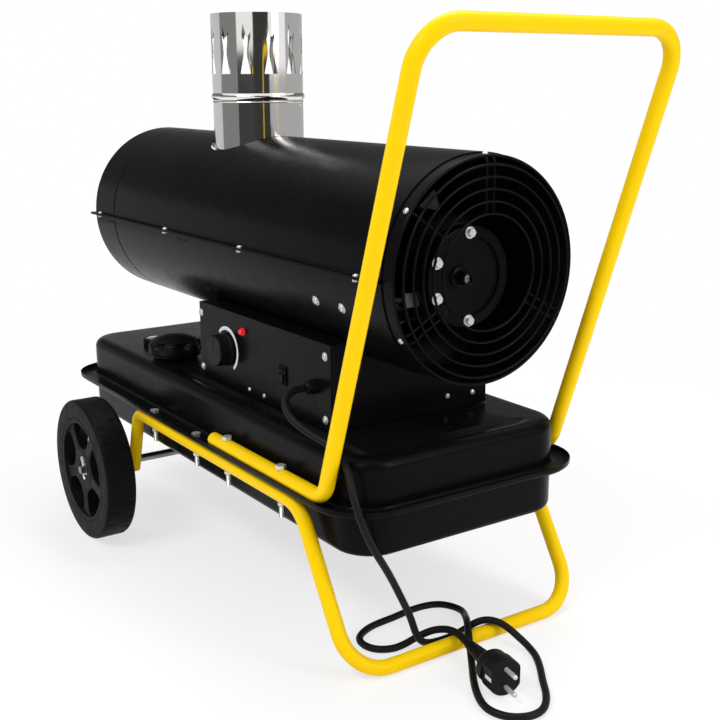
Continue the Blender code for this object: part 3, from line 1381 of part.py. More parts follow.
def make_pump():
    root = (0.0, 0.0, PUMP_Z)
    body = cylinder("pump_body", PUMP_R, (PUMP_X0, 0.0, PUMP_Z), (PUMP_X1, 0.0, PUMP_Z), sides=32)
    chamber = cylinder("chamber", ROTOR_R + GAP, (ROTOR_X0 - GAP, 0.0, DRUM_Z),
                       (PUMP_X1 + CUT_PAST, 0.0, DRUM_Z), sides=24)
    bore = cylinder("bore", SHAFT_R + GAP, (PUMP_X0 - CUT_PAST, 0.0, DRUM_Z), (ROTOR_X0, 0.0, DRUM_Z),
                    sides=16)
    port = box("port", PORT_SIZE, (PUMP_X0 + PORT_SET, -PUMP_R - PORT_OUT, PUMP_Z - PORT_DROP))
    place(cut(join(body, port), chamber, bore), material("pump_grey", STEEL, 0.45, 0.6))

    front = COVER_X1
    back = PUMP_X1 + GAP
    cover = turned("pump_cover",
                   [(0.0, front), (PUMP_R - COVER_ROUND, front), (PUMP_R, front - COVER_ROUND),
                    (PUMP_R, back), (0.0, back)], root, (1, 0, 0), steps=32)
    recess_r = PUMP_R - RECESS_EDGE
    flat = degrees(acos(RECESS_SPLIT / recess_r))
    outline = arc((0.0, PUMP_Z), recess_r, -flat, flat, 10)
    recess = prism("recess", outline, front - RECESS_DEPTH, front + CUT_PAST)
    nose_z = PUMP_Z + NOSE_RISE
    collar_share = 1.5
    nose = cylinder("nose", NOSE_R, (front - ROOT_IN, NOSE_Y, nose_z), (front + NOSE_LEN, NOSE_Y, nose_z),
                    sides=16)
    collar = cylinder("collar", NOSE_R * collar_share, (front - ROOT_IN, NOSE_Y, nose_z),
                      (front + NOSE_COLLAR_H, NOSE_Y, nose_z), sides=16)
    bore = cylinder("bore", SCREW_R + GAP, (front + SCREW_SEAT, NOSE_Y, nose_z),
                    (front + NOSE_LEN + CUT_PAST, NOSE_Y, nose_z), sides=12)
    heads = []
    for angle in PUMP_BOLT_ANGLES:
        y = PUMP_BOLT_CIRCLE * cos(radians(angle))
        z = PUMP_Z + PUMP_BOLT_CIRCLE * sin(radians(angle))
        root = (front - ROOT_IN, y, z)
        heads.append(cylinder("boss", PUMP_BOSS_R, root, (front + PUMP_BOSS_H, y, z), sides=10))
        heads.append(hexagon("head", PUMP_HEAD_R, root, (front + PUMP_HEAD_H, y, z)))
    cover = join(cut(cover, recess), nose, collar, *heads)
    place(outward(cut(cover, bore)), black_paint())

    tip = front + NOSE_LEN - SCREW_SET
    screw = cylinder("pressure_screw", SCREW_R, (front + SCREW_SEAT + GAP, NOSE_Y, nose_z),
                     (tip, NOSE_Y, nose_z), sides=12)
    depth, width = SCREW_SLOT
    screw = cut(screw, box("slot", (2 * depth, 3 * SCREW_R, width), (tip, NOSE_Y, nose_z)))
    place(origin_at(screw, (tip, NOSE_Y, nose_z)), brass())


def make_hose():
    """The air hose from the pump's port, past the motor and the fan, to the burner's nozzle."""
    nozzle_x = CHAMBER_X1 + GAP + (BURNER_T + NOZZLE_LEN) / 2
    bracket_len = BRACKET_X1 - BRACKET_X0
    near_share = 0.80
    far_share = 0.27
    xs = (BRACKET_X0 + bracket_len * near_share, BRACKET_X0 + bracket_len * far_share,
          FAN_X1 + (BRACKET_X0 - FAN_X1) * far_share, (FAN_X0 + nozzle_x + NOZZLE_LEN / 2) / 2,
          nozzle_x + HOSE_R / 2, nozzle_x)
    port_y = -PUMP_R - PORT_OUT - PORT_SIZE[1] / 2 - 3 * GAP
    port = Vector((PUMP_X0 + PORT_SET, port_y, PUMP_Z - PORT_DROP))
    points = [port, port - Vector((0.0, 4 * HOSE_R, 0.0))]
    points += [Vector((x, DRUM_R * y, DRUM_Z + DRUM_R * z)) for x, (y, z) in zip(xs, HOSE_SHARES)]
    points.append(Vector((nozzle_x, -NOZZLE_R - GAP, DRUM_Z)))
    place(tube("air_hose", smooth_path(points, HOSE_STEP), HOSE_R, 2), black_rubber())


def make_burner():
    root = (0.0, 0.0, DRUM_Z)
    plate = CHAMBER_X1 + GAP
    cone_share = 1.4
    tip_share = 0.5
    head = turned("burner_head",
                  [(0.0, plate + NOZZLE_LEN), (NOZZLE_R, plate + NOZZLE_LEN), (NOZZLE_R, plate + BURNER_T),
                   (CHAMBER_R, plate + BURNER_T), (CHAMBER_R, plate), (NOZZLE_R * cone_share, plate),
                   (NOZZLE_R * cone_share, plate - CONE_ROOT), (NOZZLE_R * tip_share, plate - CONE_LEN),
                   (0.0, plate - CONE_LEN)], root, (1, 0, 0), steps=16)
    place(outward(head), zinc())

    wall = SHEET
    chamber = turned("combustion_chamber",
                     [(CHAMBER_R, CHAMBER_X0), (CHAMBER_R, CHAMBER_X1), (CHAMBER_R - wall, CHAMBER_X1),
                      (CHAMBER_R - wall, CHAMBER_X0)], root, (1, 0, 0), steps=24)
    place(outward(chamber), stainless())

    spigot_top = DRUM_TOP_Z + SPIGOT_RISE
    solid = cylinder("heat_exchanger", EXCHANGER_R, (EXCHANGER_X0, 0.0, DRUM_Z), (EXCHANGER_X1, 0.0, DRUM_Z),
                     sides=24)
    spigot = cylinder("spigot", SPIGOT_R, (FLUE_X, 0.0, DRUM_Z), (FLUE_X, 0.0, spigot_top), sides=24)
    hollow = cylinder("hollow", EXCHANGER_R - wall, (EXCHANGER_X0 + wall, 0.0, DRUM_Z),
                      (EXCHANGER_X1 - wall, 0.0, DRUM_Z), sides=24)
    throat = cylinder("throat", SPIGOT_R - wall, (FLUE_X, 0.0, DRUM_Z), (FLUE_X, 0.0, spigot_top + CUT_PAST),
                      sides=24)
    mouth = cylinder("mouth", CHAMBER_R + GAP, (EXCHANGER_X1 - wall - CUT_PAST, 0.0, DRUM_Z),
                     (EXCHANGER_X1 + CUT_PAST, 0.0, DRUM_Z), sides=24)
    seat_r = DRUM_R - SHEET - GAP
    foot_r = EXCHANGER_R - LEG_ROOT
    size = (LEG_W, LEG_T, seat_r - foot_r)
    legs = []
    for x in (EXCHANGER_X0 + LEG_INSET, EXCHANGER_X1 - LEG_INSET):
        for angle in (225.0, 315.0):
            out = Vector((0.0, cos(radians(angle)), sin(radians(angle))))
            centre = Vector((x, 0.0, DRUM_Z)) + out * (seat_r + foot_r) / 2
            legs.append(box("leg", size, centre, Matrix.Rotation(radians(angle - 90.0), 4, "X")))
    body = join(solid, spigot, *legs)
    place(outward(cut(body, hollow, throat, mouth)), stainless())


# Mains cord

def plug_pose():
    """Centre of the plug's pin face, and the way that its pins point."""
    way = Vector(PLUG_WAY).normalized()
    return Vector((*PLUG_FACE, PLUG_R + GAP)), way


def make_cord():
    face, way = plug_pose()
    front, _ = panel_faces()
    start = Vector((GLAND_X, front - 2 * GAP - GLAND_LEN, GLAND_Z))
    end = face - way * (PLUG_LEN + NECK_LEN + RELIEF_LEN + GAP)
    stub = 2 * CORD_R
    leave = start + Vector((0.0, -stub, 0.0))
    points = smooth_path([leave] + CORD_ROUTE + [end - way * stub], CORD_STEP)
    low = CORD_R + GAP
    points = [start] + [Vector((p.x, p.y, max(p.z, low))) for p in points] + [end]
    place(tube("power_cord", points, CORD_R, 2), black_rubber())

    side = Vector((0.0, 0.0, 1.0)).cross(way)
    turn = Matrix.Rotation(atan2(way.y, way.x), 4, "Z")
    body = cylinder("mains_plug", PLUG_R, face - way * PLUG_LEN, face, sides=24)
    flat_y = PLUG_R * 3 / 2 - PLUG_FLAT
    flats = [box("flat", (PLUG_LEN, PLUG_R, 3 * PLUG_R), face + side * s * flat_y, turn) for s in (-1, 1)]
    grip_share = 0.95
    neck_share = 0.50
    root_share = 0.45
    tip_share = 1.3
    neck = PLUG_LEN + NECK_LEN
    grip = cylinder("grip", PLUG_R * grip_share, face - way * (PLUG_LEN - ROOT_IN), face - way * neck,
                    sides=24, radius2=PLUG_R * neck_share)
    relief = cylinder("relief", PLUG_R * root_share, face - way * (neck - ROOT_IN),
                      face - way * (neck + RELIEF_LEN), sides=16, radius2=CORD_R * tip_share)
    pins = []
    for s in (-1, 1):
        foot = face + Vector((0.0, 0.0, s * PIN_GAP / 2))
        pins.append(cylinder("pin", PLUG_PIN_R, foot - way * ROOT_IN, foot + way * PLUG_PIN_LEN, sides=10))
    body = cut(body, *flats)
    place(join(body, grip, relief, *pins), black_rubber())


def main():
    clear_scene()
    make_tank()
    make_filler()
    make_gauge()
    make_lower_frame()
    make_handle()
    make_frame_bolts()
    make_wheels()
    make_drum()
    make_flue()
    make_box()
    make_thermostat()
    make_lamp()
    make_switch()
    make_gland()
    make_electrics()
    make_guard()
    make_motor()
    make_pump()
    make_hose()
    make_burner()
    make_cord()


main()
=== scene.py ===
"""Looks for the indirect fired heater: fine surfaces, materials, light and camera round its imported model.

Metres, +Z up, +X towards the fan and handle, -Y towards the control panel.
"""

import json
from math import acos, asin, atan2, ceil, cos, degrees, pi, radians, sin, tan
from types import SimpleNamespace

import bmesh
import bpy
from mathutils import Matrix, Vector


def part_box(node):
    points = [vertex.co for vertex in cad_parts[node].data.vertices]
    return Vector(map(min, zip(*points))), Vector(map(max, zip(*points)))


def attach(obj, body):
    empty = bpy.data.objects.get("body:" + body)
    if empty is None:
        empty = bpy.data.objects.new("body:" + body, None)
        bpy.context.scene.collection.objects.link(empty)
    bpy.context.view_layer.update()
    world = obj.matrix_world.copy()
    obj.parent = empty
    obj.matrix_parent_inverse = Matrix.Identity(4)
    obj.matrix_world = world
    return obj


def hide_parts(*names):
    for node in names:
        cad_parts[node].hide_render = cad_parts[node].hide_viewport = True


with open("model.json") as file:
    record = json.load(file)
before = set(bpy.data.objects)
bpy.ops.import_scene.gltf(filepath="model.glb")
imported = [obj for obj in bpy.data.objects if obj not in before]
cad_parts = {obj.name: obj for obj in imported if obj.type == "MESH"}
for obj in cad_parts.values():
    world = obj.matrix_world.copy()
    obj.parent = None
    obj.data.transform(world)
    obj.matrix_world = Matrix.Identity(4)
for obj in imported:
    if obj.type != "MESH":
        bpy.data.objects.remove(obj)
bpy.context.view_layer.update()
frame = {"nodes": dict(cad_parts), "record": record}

# Shared sizes
GAP = 0.0003
SHEET = 0.0012
WELD = 1e-6
UP = Vector((0.0, 0.0, 1.0))


def box(node):
    """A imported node's low corner, high corner and middle."""
    low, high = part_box(node)
    return SimpleNamespace(low=low, high=high, mid=(low + high) / 2)


# Places read from the frame
RING = box("outlet_ring")
DRUM = box("drum_upper")
SHROUD = box("fan_shroud")
COLLAR = box("flue_collar")
PIPE = box("flue_pipe")
TANK = box("tank_upper")
PAN = box("tank_lower")
PANEL = box("control_panel")
TYRE = box("tyre_left")
HANDLE = box("handle_frame")
COVER = box("pump_cover")
KNOB = box("thermostat_knob")
LAMP = box("indicator_lamp")
GLAND = box("cable_gland")
CAP = box("filler_cap")
GAUGE = box("fuel_gauge")

DRUM_R = RING.high.y
DRUM_Z = RING.mid.z
DRUM_INNER = DRUM_R - SHEET - GAP
FLUE_R = COLLAR.high.y
FLUE_X = COLLAR.mid.x
PANEL_Y = PANEL.low.y


# Small tools

def link(ob):
    bpy.context.scene.collection.objects.link(ob)
    return ob


def to_object(name, bm):
    """A new object from a bmesh, left as it is."""
    mesh = bpy.data.meshes.new(name)
    bm.to_mesh(mesh)
    bm.free()
    return link(bpy.data.objects.new(name, mesh))


def mesh_object(name, bm):
    """A new object from a bmesh, welded and with its faces turned outward."""
    bmesh.ops.remove_doubles(bm, verts=bm.verts, dist=WELD)
    bmesh.ops.recalc_face_normals(bm, faces=bm.faces)
    return to_object(name, bm)


def facing(axis):
    """The turn that takes +Z to the given direction."""
    return Vector(axis).to_track_quat("Z", "Y").to_matrix().to_4x4()


def turned(angle, axis):
    """A turn in degrees about X, Y or Z."""
    return Matrix.Rotation(radians(angle), 4, axis)


def dress(ob, mat, body="chassis", cad=(), bevel=0.0, angle=35.0):
    """Give a finished piece its material, shading, edges and body."""
    ob.data.materials.clear()
    ob.data.materials.append(mat())
    if ob.type == "MESH":
        ob.data.shade_smooth()
        if bevel:
            edge = ob.modifiers.new("edges", "BEVEL")
            edge.width = bevel
            edge.segments = 2
            edge.limit_method = "ANGLE"
            edge.angle_limit = radians(angle)
            edge.harden_normals = True
        else:
            ob.data.set_sharp_from_angle(angle=radians(angle))
    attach(ob, body)
    if cad:
        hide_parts(*cad)
    return ob


def bake(ob):
    """Turn an object's modifiers or curve into a plain mesh."""
    bpy.context.view_layer.update()
    graph = bpy.context.evaluated_depsgraph_get()
    mesh = bpy.data.meshes.new_from_object(ob.evaluated_get(graph))
    mesh.transform(ob.matrix_world)
    name = ob.name
    bpy.data.objects.remove(ob, do_unlink=True)
    return link(bpy.data.objects.new(name, mesh))


def combine(ob, other, operation="DIFFERENCE"):
    """Boolean two meshes and drop the second one."""
    mod = ob.modifiers.new("boolean", "BOOLEAN")
    mod.operation = operation
    mod.object = other
    new = bake(ob)
    bpy.data.objects.remove(other, do_unlink=True)
    return new


def merge(name, obs):
    """Several meshes in one object, left as they are."""
    bm = bmesh.new()
    for ob in obs:
        ob.data.transform(ob.matrix_world)
        bm.from_mesh(ob.data)
        bpy.data.objects.remove(ob, do_unlink=True)
    return to_object(name, bm)


def thickened(ob, even=False):
    """A skin given the sheet's thickness on its inner side."""
    solid = ob.modifiers.new("sheet", "SOLIDIFY")
    solid.thickness = SHEET
    solid.offset = -1.0
    solid.use_even_offset = even
    return bake(ob)


# Outlines

CORNER_SHARE = 0.45          # most of a side that one rounded corner may take


def softened(outline, radius, steps=3):
    """Round the corners of a flat outline; corners on the turning axis stay sharp."""
    result = []
    for i, point in enumerate(outline):
        corner = Vector(point)
        back = Vector(outline[i - 1]) - corner
        ahead = Vector(outline[(i + 1) % len(outline)]) - corner
        if corner.x == 0.0 or not back.length or not ahead.length:
            result.append(point)
            continue
        reach = min(radius, back.length * CORNER_SHARE, ahead.length * CORNER_SHARE)
        start = corner + back.normalized() * reach
        end = corner + ahead.normalized() * reach
        for k in range(steps + 1):
            t = k / steps
            result.append(tuple(start * (1 - t) ** 2 + corner * 2 * t * (1 - t) + end * t * t))
    return result


def oval(x, y, wide, high, angles):
    """Points round (x, y) at the given angles in degrees."""
    return [(x + wide * cos(radians(a)), y + high * sin(radians(a))) for a in angles]


def arc(x, y, radius, start, end, count):
    return oval(x, y, radius, radius, [start + (end - start) * i / count for i in range(count + 1)])


def band(inner, outer, low, high):
    """The outline of a washer, or of a disc where inner is zero."""
    return [(inner, low), (outer, low), (outer, high), (inner, high)]


def hexagon(radius):
    return oval(0.0, 0.0, radius, radius, range(0, 360, 60))


def quarter_turn(count):
    """Angles in radians from 0 to 90 degrees in even steps."""
    return [radians(90.0 * k / count) for k in range(count + 1)]


def smooth_step(value):
    t = min(1.0, max(0.0, value))
    return t * t * (3 - 2 * t)


# Solids

def lathe(name, outline, origin=(0.0, 0.0, 0.0), axis=UP, steps=96, warp=None):
    """Turn a closed outline of (radius, height) about an axis; warp may move each point."""
    bm = bmesh.new()
    pose = Matrix.Translation(origin) @ facing(axis)
    rings = []
    for k in range(steps):
        a = 2 * pi * k / steps
        ring = []
        for radius, height in outline:
            r = warp(radius, height, a) if warp else radius
            ring.append(bm.verts.new(pose @ Vector((r * cos(a), r * sin(a), height))))
        rings.append(ring)
    count = len(outline)
    for here, there in zip(rings, rings[1:] + rings[:1]):
        for i in range(count):
            j = (i + 1) % count
            if outline[i][0] == 0.0 and outline[j][0] == 0.0:
                continue
            bm.faces.new((here[i], here[j], there[j], there[i]))
    return mesh_object(name, bm)


def block(name, size, centre, turn=Matrix.Identity(4)):
    bm = bmesh.new()
    bmesh.ops.create_cube(bm, size=1.0)
    shape = Matrix.Translation(centre) @ turn @ Matrix.Diagonal((*size, 1.0))
    bmesh.ops.transform(bm, matrix=shape, verts=bm.verts)
    return mesh_object(name, bm)


def push_out(bm, faces, depth):
    """Extrude flat faces along Z."""
    grown = bmesh.ops.extrude_face_region(bm, geom=faces)
    moved = [item for item in grown["geom"] if isinstance(item, bmesh.types.BMVert)]
    bmesh.ops.translate(bm, verts=moved, vec=(0.0, 0.0, depth))


def prism(name, outline, pose, depth):
    """A flat outline of (x, y) points pushed out by depth along Z, then placed."""
    bm = bmesh.new()
    push_out(bm, [bm.faces.new([bm.verts.new((x, y, 0.0)) for x, y in outline])], depth)
    bmesh.ops.transform(bm, matrix=pose, verts=bm.verts)
    return mesh_object(name, bm)


def rounded_path(corners, radii, max_turn=5.0):
    """A 3-D polyline with its inner corners rounded to the given radii."""
    points = [Vector(corners[0])]
    for before, corner, after, radius in zip(corners, corners[1:], corners[2:], radii):
        corner = Vector(corner)
        back = (Vector(before) - corner).normalized()
        ahead = (Vector(after) - corner).normalized()
        turn = pi - acos(max(-1.0, min(1.0, back.dot(ahead))))
        run = radius * tan(turn / 2)
        centre = corner + (back + ahead).normalized() * (radius / cos(turn / 2))
        start = corner + back * run - centre
        normal = start.cross((corner - centre).normalized()).normalized()
        steps = max(2, ceil(degrees(turn) / max_turn))
        for i in range(steps + 1):
            points.append(centre + Matrix.Rotation(turn * i / steps, 3, normal) @ start)
    points.append(Vector(corners[-1]))
    return points


def pipe(name, points, radius, resolution=8, cyclic=False):
    """A round bar along points."""
    curve = bpy.data.curves.new(name, "CURVE")
    curve.dimensions = "3D"
    curve.bevel_depth = radius
    curve.bevel_resolution = resolution
    curve.use_fill_caps = not cyclic
    spline = curve.splines.new("POLY")
    spline.points.add(len(points) - 1)
    for knot, point in zip(spline.points, points):
        knot.co = (*point, 1.0)
    spline.use_cyclic_u = cyclic
    spline.use_smooth = True
    return link(bpy.data.objects.new(name, curve))


# Materials

CACHE = {}
COAT_ROUGHNESS = 0.12


def grey(level, blue=None):
    return (level, level, blue or level)


def set_inputs(node, **values):
    """Set a node's inputs; an underscore in a name stands for a space."""
    for name, value in values.items():
        node.inputs[name.replace("_", " ")].default_value = value


def add_node(tree, kind, **values):
    node = tree.nodes.new("ShaderNode" + kind)
    set_inputs(node, **values)
    return node


def new_material(name):
    """A node material and its shader."""
    mat = bpy.data.materials.new(name)
    mat.use_nodes = True
    return mat, mat.node_tree.nodes["Principled BSDF"]


def noise(tree, scale, detail=2.0, stretch=(1.0, 1.0, 1.0)):
    """Noise over the object's own coordinates; returns its value socket."""
    place = add_node(tree, "TexCoord")
    shape = add_node(tree, "Mapping", Scale=stretch)
    tree.links.new(place.outputs["Object"], shape.inputs["Vector"])
    grain = add_node(tree, "TexNoise", Scale=scale, Detail=detail)
    tree.links.new(shape.outputs["Vector"], grain.inputs["Vector"])
    return grain.outputs["Fac"]


def ranged(tree, value, low, high, start=0.3, end=0.7):
    """A value stretched from start..end to low..high."""
    span = add_node(tree, "MapRange", From_Min=start, From_Max=end, To_Min=low, To_Max=high)
    tree.links.new(value, span.inputs["Value"])
    return span.outputs["Result"]


def mixed(tree, value, first, second):
    blend = add_node(tree, "Mix")
    blend.data_type = "RGBA"
    set_inputs(blend, A=(*first, 1.0), B=(*second, 1.0))
    tree.links.new(value, blend.inputs["Factor"])
    return blend.outputs["Result"]


def surface(name, colour, tint, roughness, spread, metallic=0.0, blotch=14.0, grain=700.0, depth=0.00003,
            detail=2.0, stretch=(1.0, 1.0, 1.0), coat=0.0, specular=0.5):
    """A finish with uneven colour and roughness, and a fine raised grain."""
    if name in CACHE:
        return CACHE[name]
    mat, shader = new_material(name)
    tree = mat.node_tree
    set_inputs(shader, Metallic=metallic, Coat_Weight=coat, Coat_Roughness=COAT_ROUGHNESS,
               Specular_IOR_Level=specular)
    broad = ranged(tree, noise(tree, blotch, 3.0), 0.0, 1.0)
    tree.links.new(mixed(tree, broad, colour, tint), shader.inputs["Base Color"])
    rough = ranged(tree, noise(tree, blotch * 4.0, 4.0, stretch), roughness - spread, roughness + spread)
    tree.links.new(rough, shader.inputs["Roughness"])
    bump = add_node(tree, "Bump", Distance=depth, Strength=1.0)
    tree.links.new(noise(tree, grain, detail, stretch), bump.inputs["Height"])
    tree.links.new(bump.outputs["Normal"], shader.inputs["Normal"])
    CACHE[name] = mat
    return mat


def black_paint():
    return surface("black_paint", grey(0.0034, 0.0036), grey(0.0046, 0.0048), 0.26, 0.04, grain=520.0,
                   depth=0.00001, specular=0.045)


def yellow_paint():
    return surface("yellow_paint", (0.98, 0.62, 0.0005), (0.99, 0.65, 0.0010), 0.34, 0.04, grain=420.0,
                   depth=0.00001, specular=0.08)


def zinc_steel():
    return surface("zinc_steel", grey(0.74, 0.72), (0.64, 0.65, 0.63), 0.30, 0.06, metallic=0.6,
                   blotch=120.0, grain=1800.0, depth=0.00002)


def axle_steel():
    return surface("axle_steel", (0.26, 0.27, 0.27), (0.17, 0.18, 0.18), 0.34, 0.08, metallic=1.0,
                   blotch=60.0, grain=900.0, depth=0.00002)


def stainless_steel():
    return surface("stainless_steel", (0.84, 0.83, 0.81), (0.78, 0.77, 0.75), 0.075, 0.02, metallic=1.0,
                   blotch=9.0, grain=60.0, depth=0.00004, stretch=(1.0, 1.0, 0.06))


def heated_steel():
    return surface("heated_steel", (0.16, 0.15, 0.14), (0.09, 0.08, 0.08), 0.46, 0.08, metallic=0.9,
                   blotch=18.0, grain=900.0, detail=4.0)


def black_plastic():
    return surface("black_plastic", grey(0.0045), grey(0.0070), 0.40, 0.06, blotch=40.0, grain=2600.0,
                   detail=4.0, specular=0.08)


def wheel_plastic():
    return surface("wheel_plastic", grey(0.0040), grey(0.0060), 0.46, 0.06, blotch=22.0, grain=1500.0,
                   depth=0.00004, detail=5.0, specular=0.04)


def black_rubber():
    return surface("black_rubber", grey(0.0060), grey(0.0090), 0.48, 0.07, blotch=30.0, grain=1900.0,
                   detail=4.0, specular=0.12)


def tyre_rubber():
    return surface("tyre_rubber", grey(0.0040), grey(0.0060), 0.50, 0.06, blotch=26.0, grain=1200.0,
                   depth=0.00005, detail=5.0, specular=0.05)


def red_lens():
    mat = surface("red_lens", (0.62, 0.004, 0.008), (0.80, 0.010, 0.014), 0.12, 0.03, grain=900.0,
                  depth=0.00001, coat=0.6)
    # The faint red emission is a painted glow that brightens the lens; no bulb lights it.
    set_inputs(mat.node_tree.nodes["Principled BSDF"], Emission_Color=(0.8, 0.01, 0.015, 1.0),
               Emission_Strength=0.25)
    return mat


def pump_grey():
    return surface("pump_grey", grey(0.13, 0.135), grey(0.08, 0.085), 0.48, 0.08, metallic=1.0, blotch=80.0,
                   grain=1300.0, depth=0.00008, detail=5.0)


def brass():
    return surface("brass", (0.72, 0.50, 0.18), (0.60, 0.41, 0.15), 0.28, 0.06, metallic=1.0, blotch=90.0,
                   grain=1500.0, depth=0.00002)


def board_green():
    return surface("board_green", (0.02, 0.14, 0.05), (0.03, 0.19, 0.08), 0.42, 0.06, grain=900.0)


def white_print():
    return surface("white_print", (0.74, 0.76, 0.76), (0.80, 0.82, 0.82), 0.50, 0.05, blotch=150.0,
                   grain=1800.0)


def clear_lens():
    mat = surface("clear_lens", (0.90, 0.92, 0.92), (0.94, 0.95, 0.95), 0.06, 0.02, grain=300.0,
                  depth=0.00001)
    set_inputs(mat.node_tree.nodes["Principled BSDF"], Transmission_Weight=0.85)
    return mat


CAD_FINISHES = {make.__name__: make for make in (
    black_paint, yellow_paint, zinc_steel, stainless_steel, black_plastic, black_rubber, red_lens, pump_grey,
    brass, board_green)}
INNER_FINISHES = {           # nodes that look other than their slot's finish
    "axle": axle_steel, "pressure_screw": axle_steel, "motor_bracket": black_paint,
    "combustion_chamber": heated_steel, "heat_exchanger": heated_steel, "burner_head": heated_steel,
}
SMOOTH_BELOW = 32.0


def dress_cad_nodes():
    """The nodes that stay: their finish, and smooth shading over their round faces."""
    for part in frame["record"]["subparts"]:
        node = part["node"]
        finish = INNER_FINISHES.get(node, CAD_FINISHES[part["material_slot"]])
        ob = frame["nodes"][node]
        ob.data.materials.clear()
        ob.data.materials.append(finish())
        ob.data.shade_smooth()
        weld = ob.modifiers.new("weld", "WELD")
        weld.merge_threshold = WELD
        split = ob.modifiers.new("sharp edges", "EDGE_SPLIT")
        split.split_angle = radians(SMOOTH_BELOW)


# Fasteners

HEX_R = 0.0058
HEX_H = 0.004
BOLT_R = 0.003
THREAD_PITCH = 0.001
WASHER_T = 0.0007
SLOT_TURNS = (35.0, 125.0)


def hex_head(radius, height):
    """A bolt head standing on z = 0, its top corners turned round."""
    head = prism("head", hexagon(radius), Matrix.Identity(4), height)
    cone = [(0.0, -height), (radius * 1.3, -height), (radius * 1.3, height * 0.70), (radius * 0.9, height),
            (0.0, height)]
    return combine(head, lathe("cap", cone, steps=48), "INTERSECT")


def screw_head(radius, height, washer=True):
    """A pan head with a cross slot on a round washer, standing on z = 0."""
    base = WASHER_T if washer else 0.0
    dome = [(radius * cos(a), base + height * sin(a) ** 0.8 if a else base) for a in quarter_turn(8)]
    dome[-1] = (0.0, base + height)
    head = lathe("screw", [(0.0, base * 0.5), (radius, base * 0.5)] + dome, steps=28)
    for turn in SLOT_TURNS:
        slot = block("slot", (radius * 1.15, radius * 0.26, height), (0.0, 0.0, base + height),
                     turned(turn, "Z"))
        head = combine(head, slot)
    if washer:
        ring = lathe("washer", softened(band(0.0, radius * 1.28, 0.0, base), base * 0.4), steps=28)
        head = merge("screw", [head, ring])
    return head


def scatter(name, template, places, turn_step=1.1):
    """Copies of one small piece at (point, outward direction) places, as one mesh."""
    copies = []
    for k, (point, out) in enumerate(places):
        copy = link(bpy.data.objects.new("copy", template.data.copy()))
        copy.data.transform(Matrix.Translation(point) @ facing(out) @ Matrix.Rotation(turn_step * k, 4, "Z"))
        copies.append(copy)
    bpy.data.objects.remove(template, do_unlink=True)
    return dress(merge(name, copies), zinc_steel, angle=30.0)


# Drum

LIP_FILLET = 0.0022
CREASE_X = -0.3255
CREASE_HALF = 0.0022
CREASE_DEPTH = 0.0007
CREASE_STEPS = 12
SKIN_XS = (-0.25, -0.12, 0.02, 0.16)
FLUE_HOLE_R = 0.0595
SLOT_SIZE = (0.028, 0.0018, 0.0024)
SLOT_XS = (-0.333, -0.115)
SLOT_DROP = 0.0075
COWL_ROLL = 0.0016
COWL_FOLD = 0.0008


def shell_rows():
    """Along the drum, pairs of x and how far the skin is drawn in there."""
    rows = [(DRUM.low.x, 0.0), (DRUM.low.x + 0.001, 0.0)]
    rows += [(CREASE_X - reach * CREASE_HALF, 0.0) for reach in (3.0, 1.4)]
    for k in range(CREASE_STEPS + 1):
        t = k / CREASE_STEPS
        rows.append((CREASE_X + (2 * t - 1) * CREASE_HALF, CREASE_DEPTH * sin(pi * t) ** 2))
    rows += [(CREASE_X + reach * CREASE_HALF, 0.0) for reach in (1.4, 3.0)]
    return rows + [(x, 0.0) for x in (*SKIN_XS, DRUM.high.x)]


def half_shell(name, side):
    lip_z = GAP / 2 + SHEET
    start = degrees(asin(lip_z / DRUM_R))
    path = [(DRUM.high.y, lip_z), *arc(0.0, 0.0, DRUM_R, start, 180.0 - start, 72), (-DRUM.high.y, lip_z)]
    bm = bmesh.new()
    columns = []
    for x, draw in shell_rows():
        column = []
        for k, (y, z) in enumerate(path):
            pull = 1.0 - (draw / DRUM_R if 1 < k < len(path) - 2 else 0.0)
            column.append(bm.verts.new((x, y * pull, DRUM_Z + side * z * pull)))
        columns.append(column)
    for here, there in zip(columns, columns[1:]):
        for k in range(len(path) - 1):
            quad = (here[k], here[k + 1], there[k + 1], there[k])
            bm.faces.new(quad if side > 0 else quad[::-1])
    ob = to_object(name, bm)
    lip = ob.modifiers.new("lip", "BEVEL")
    lip.width = LIP_FILLET
    lip.segments = 4
    lip.angle_limit = radians(50.0)
    return thickened(ob, even=True)


def make_shells():
    upper = half_shell("drum_top", 1)
    hole = band(0.0, FLUE_HOLE_R, DRUM_Z + DRUM_R * 0.6, DRUM_Z + DRUM_R * 1.1)
    upper = combine(upper, lathe("hole", hole, (FLUE_X, 0.0, 0.0)))
    dress(upper, black_paint, cad=["drum_upper"], angle=32.0)

    lower = half_shell("drum_bottom", -1)
    for x in SLOT_XS:
        for side in (-1, 1):
            lower = combine(lower, block("slot", SLOT_SIZE, (x, side * DRUM_R, DRUM_Z - SLOT_DROP)))
    dress(lower, black_paint, cad=["drum_lower"], angle=32.0)


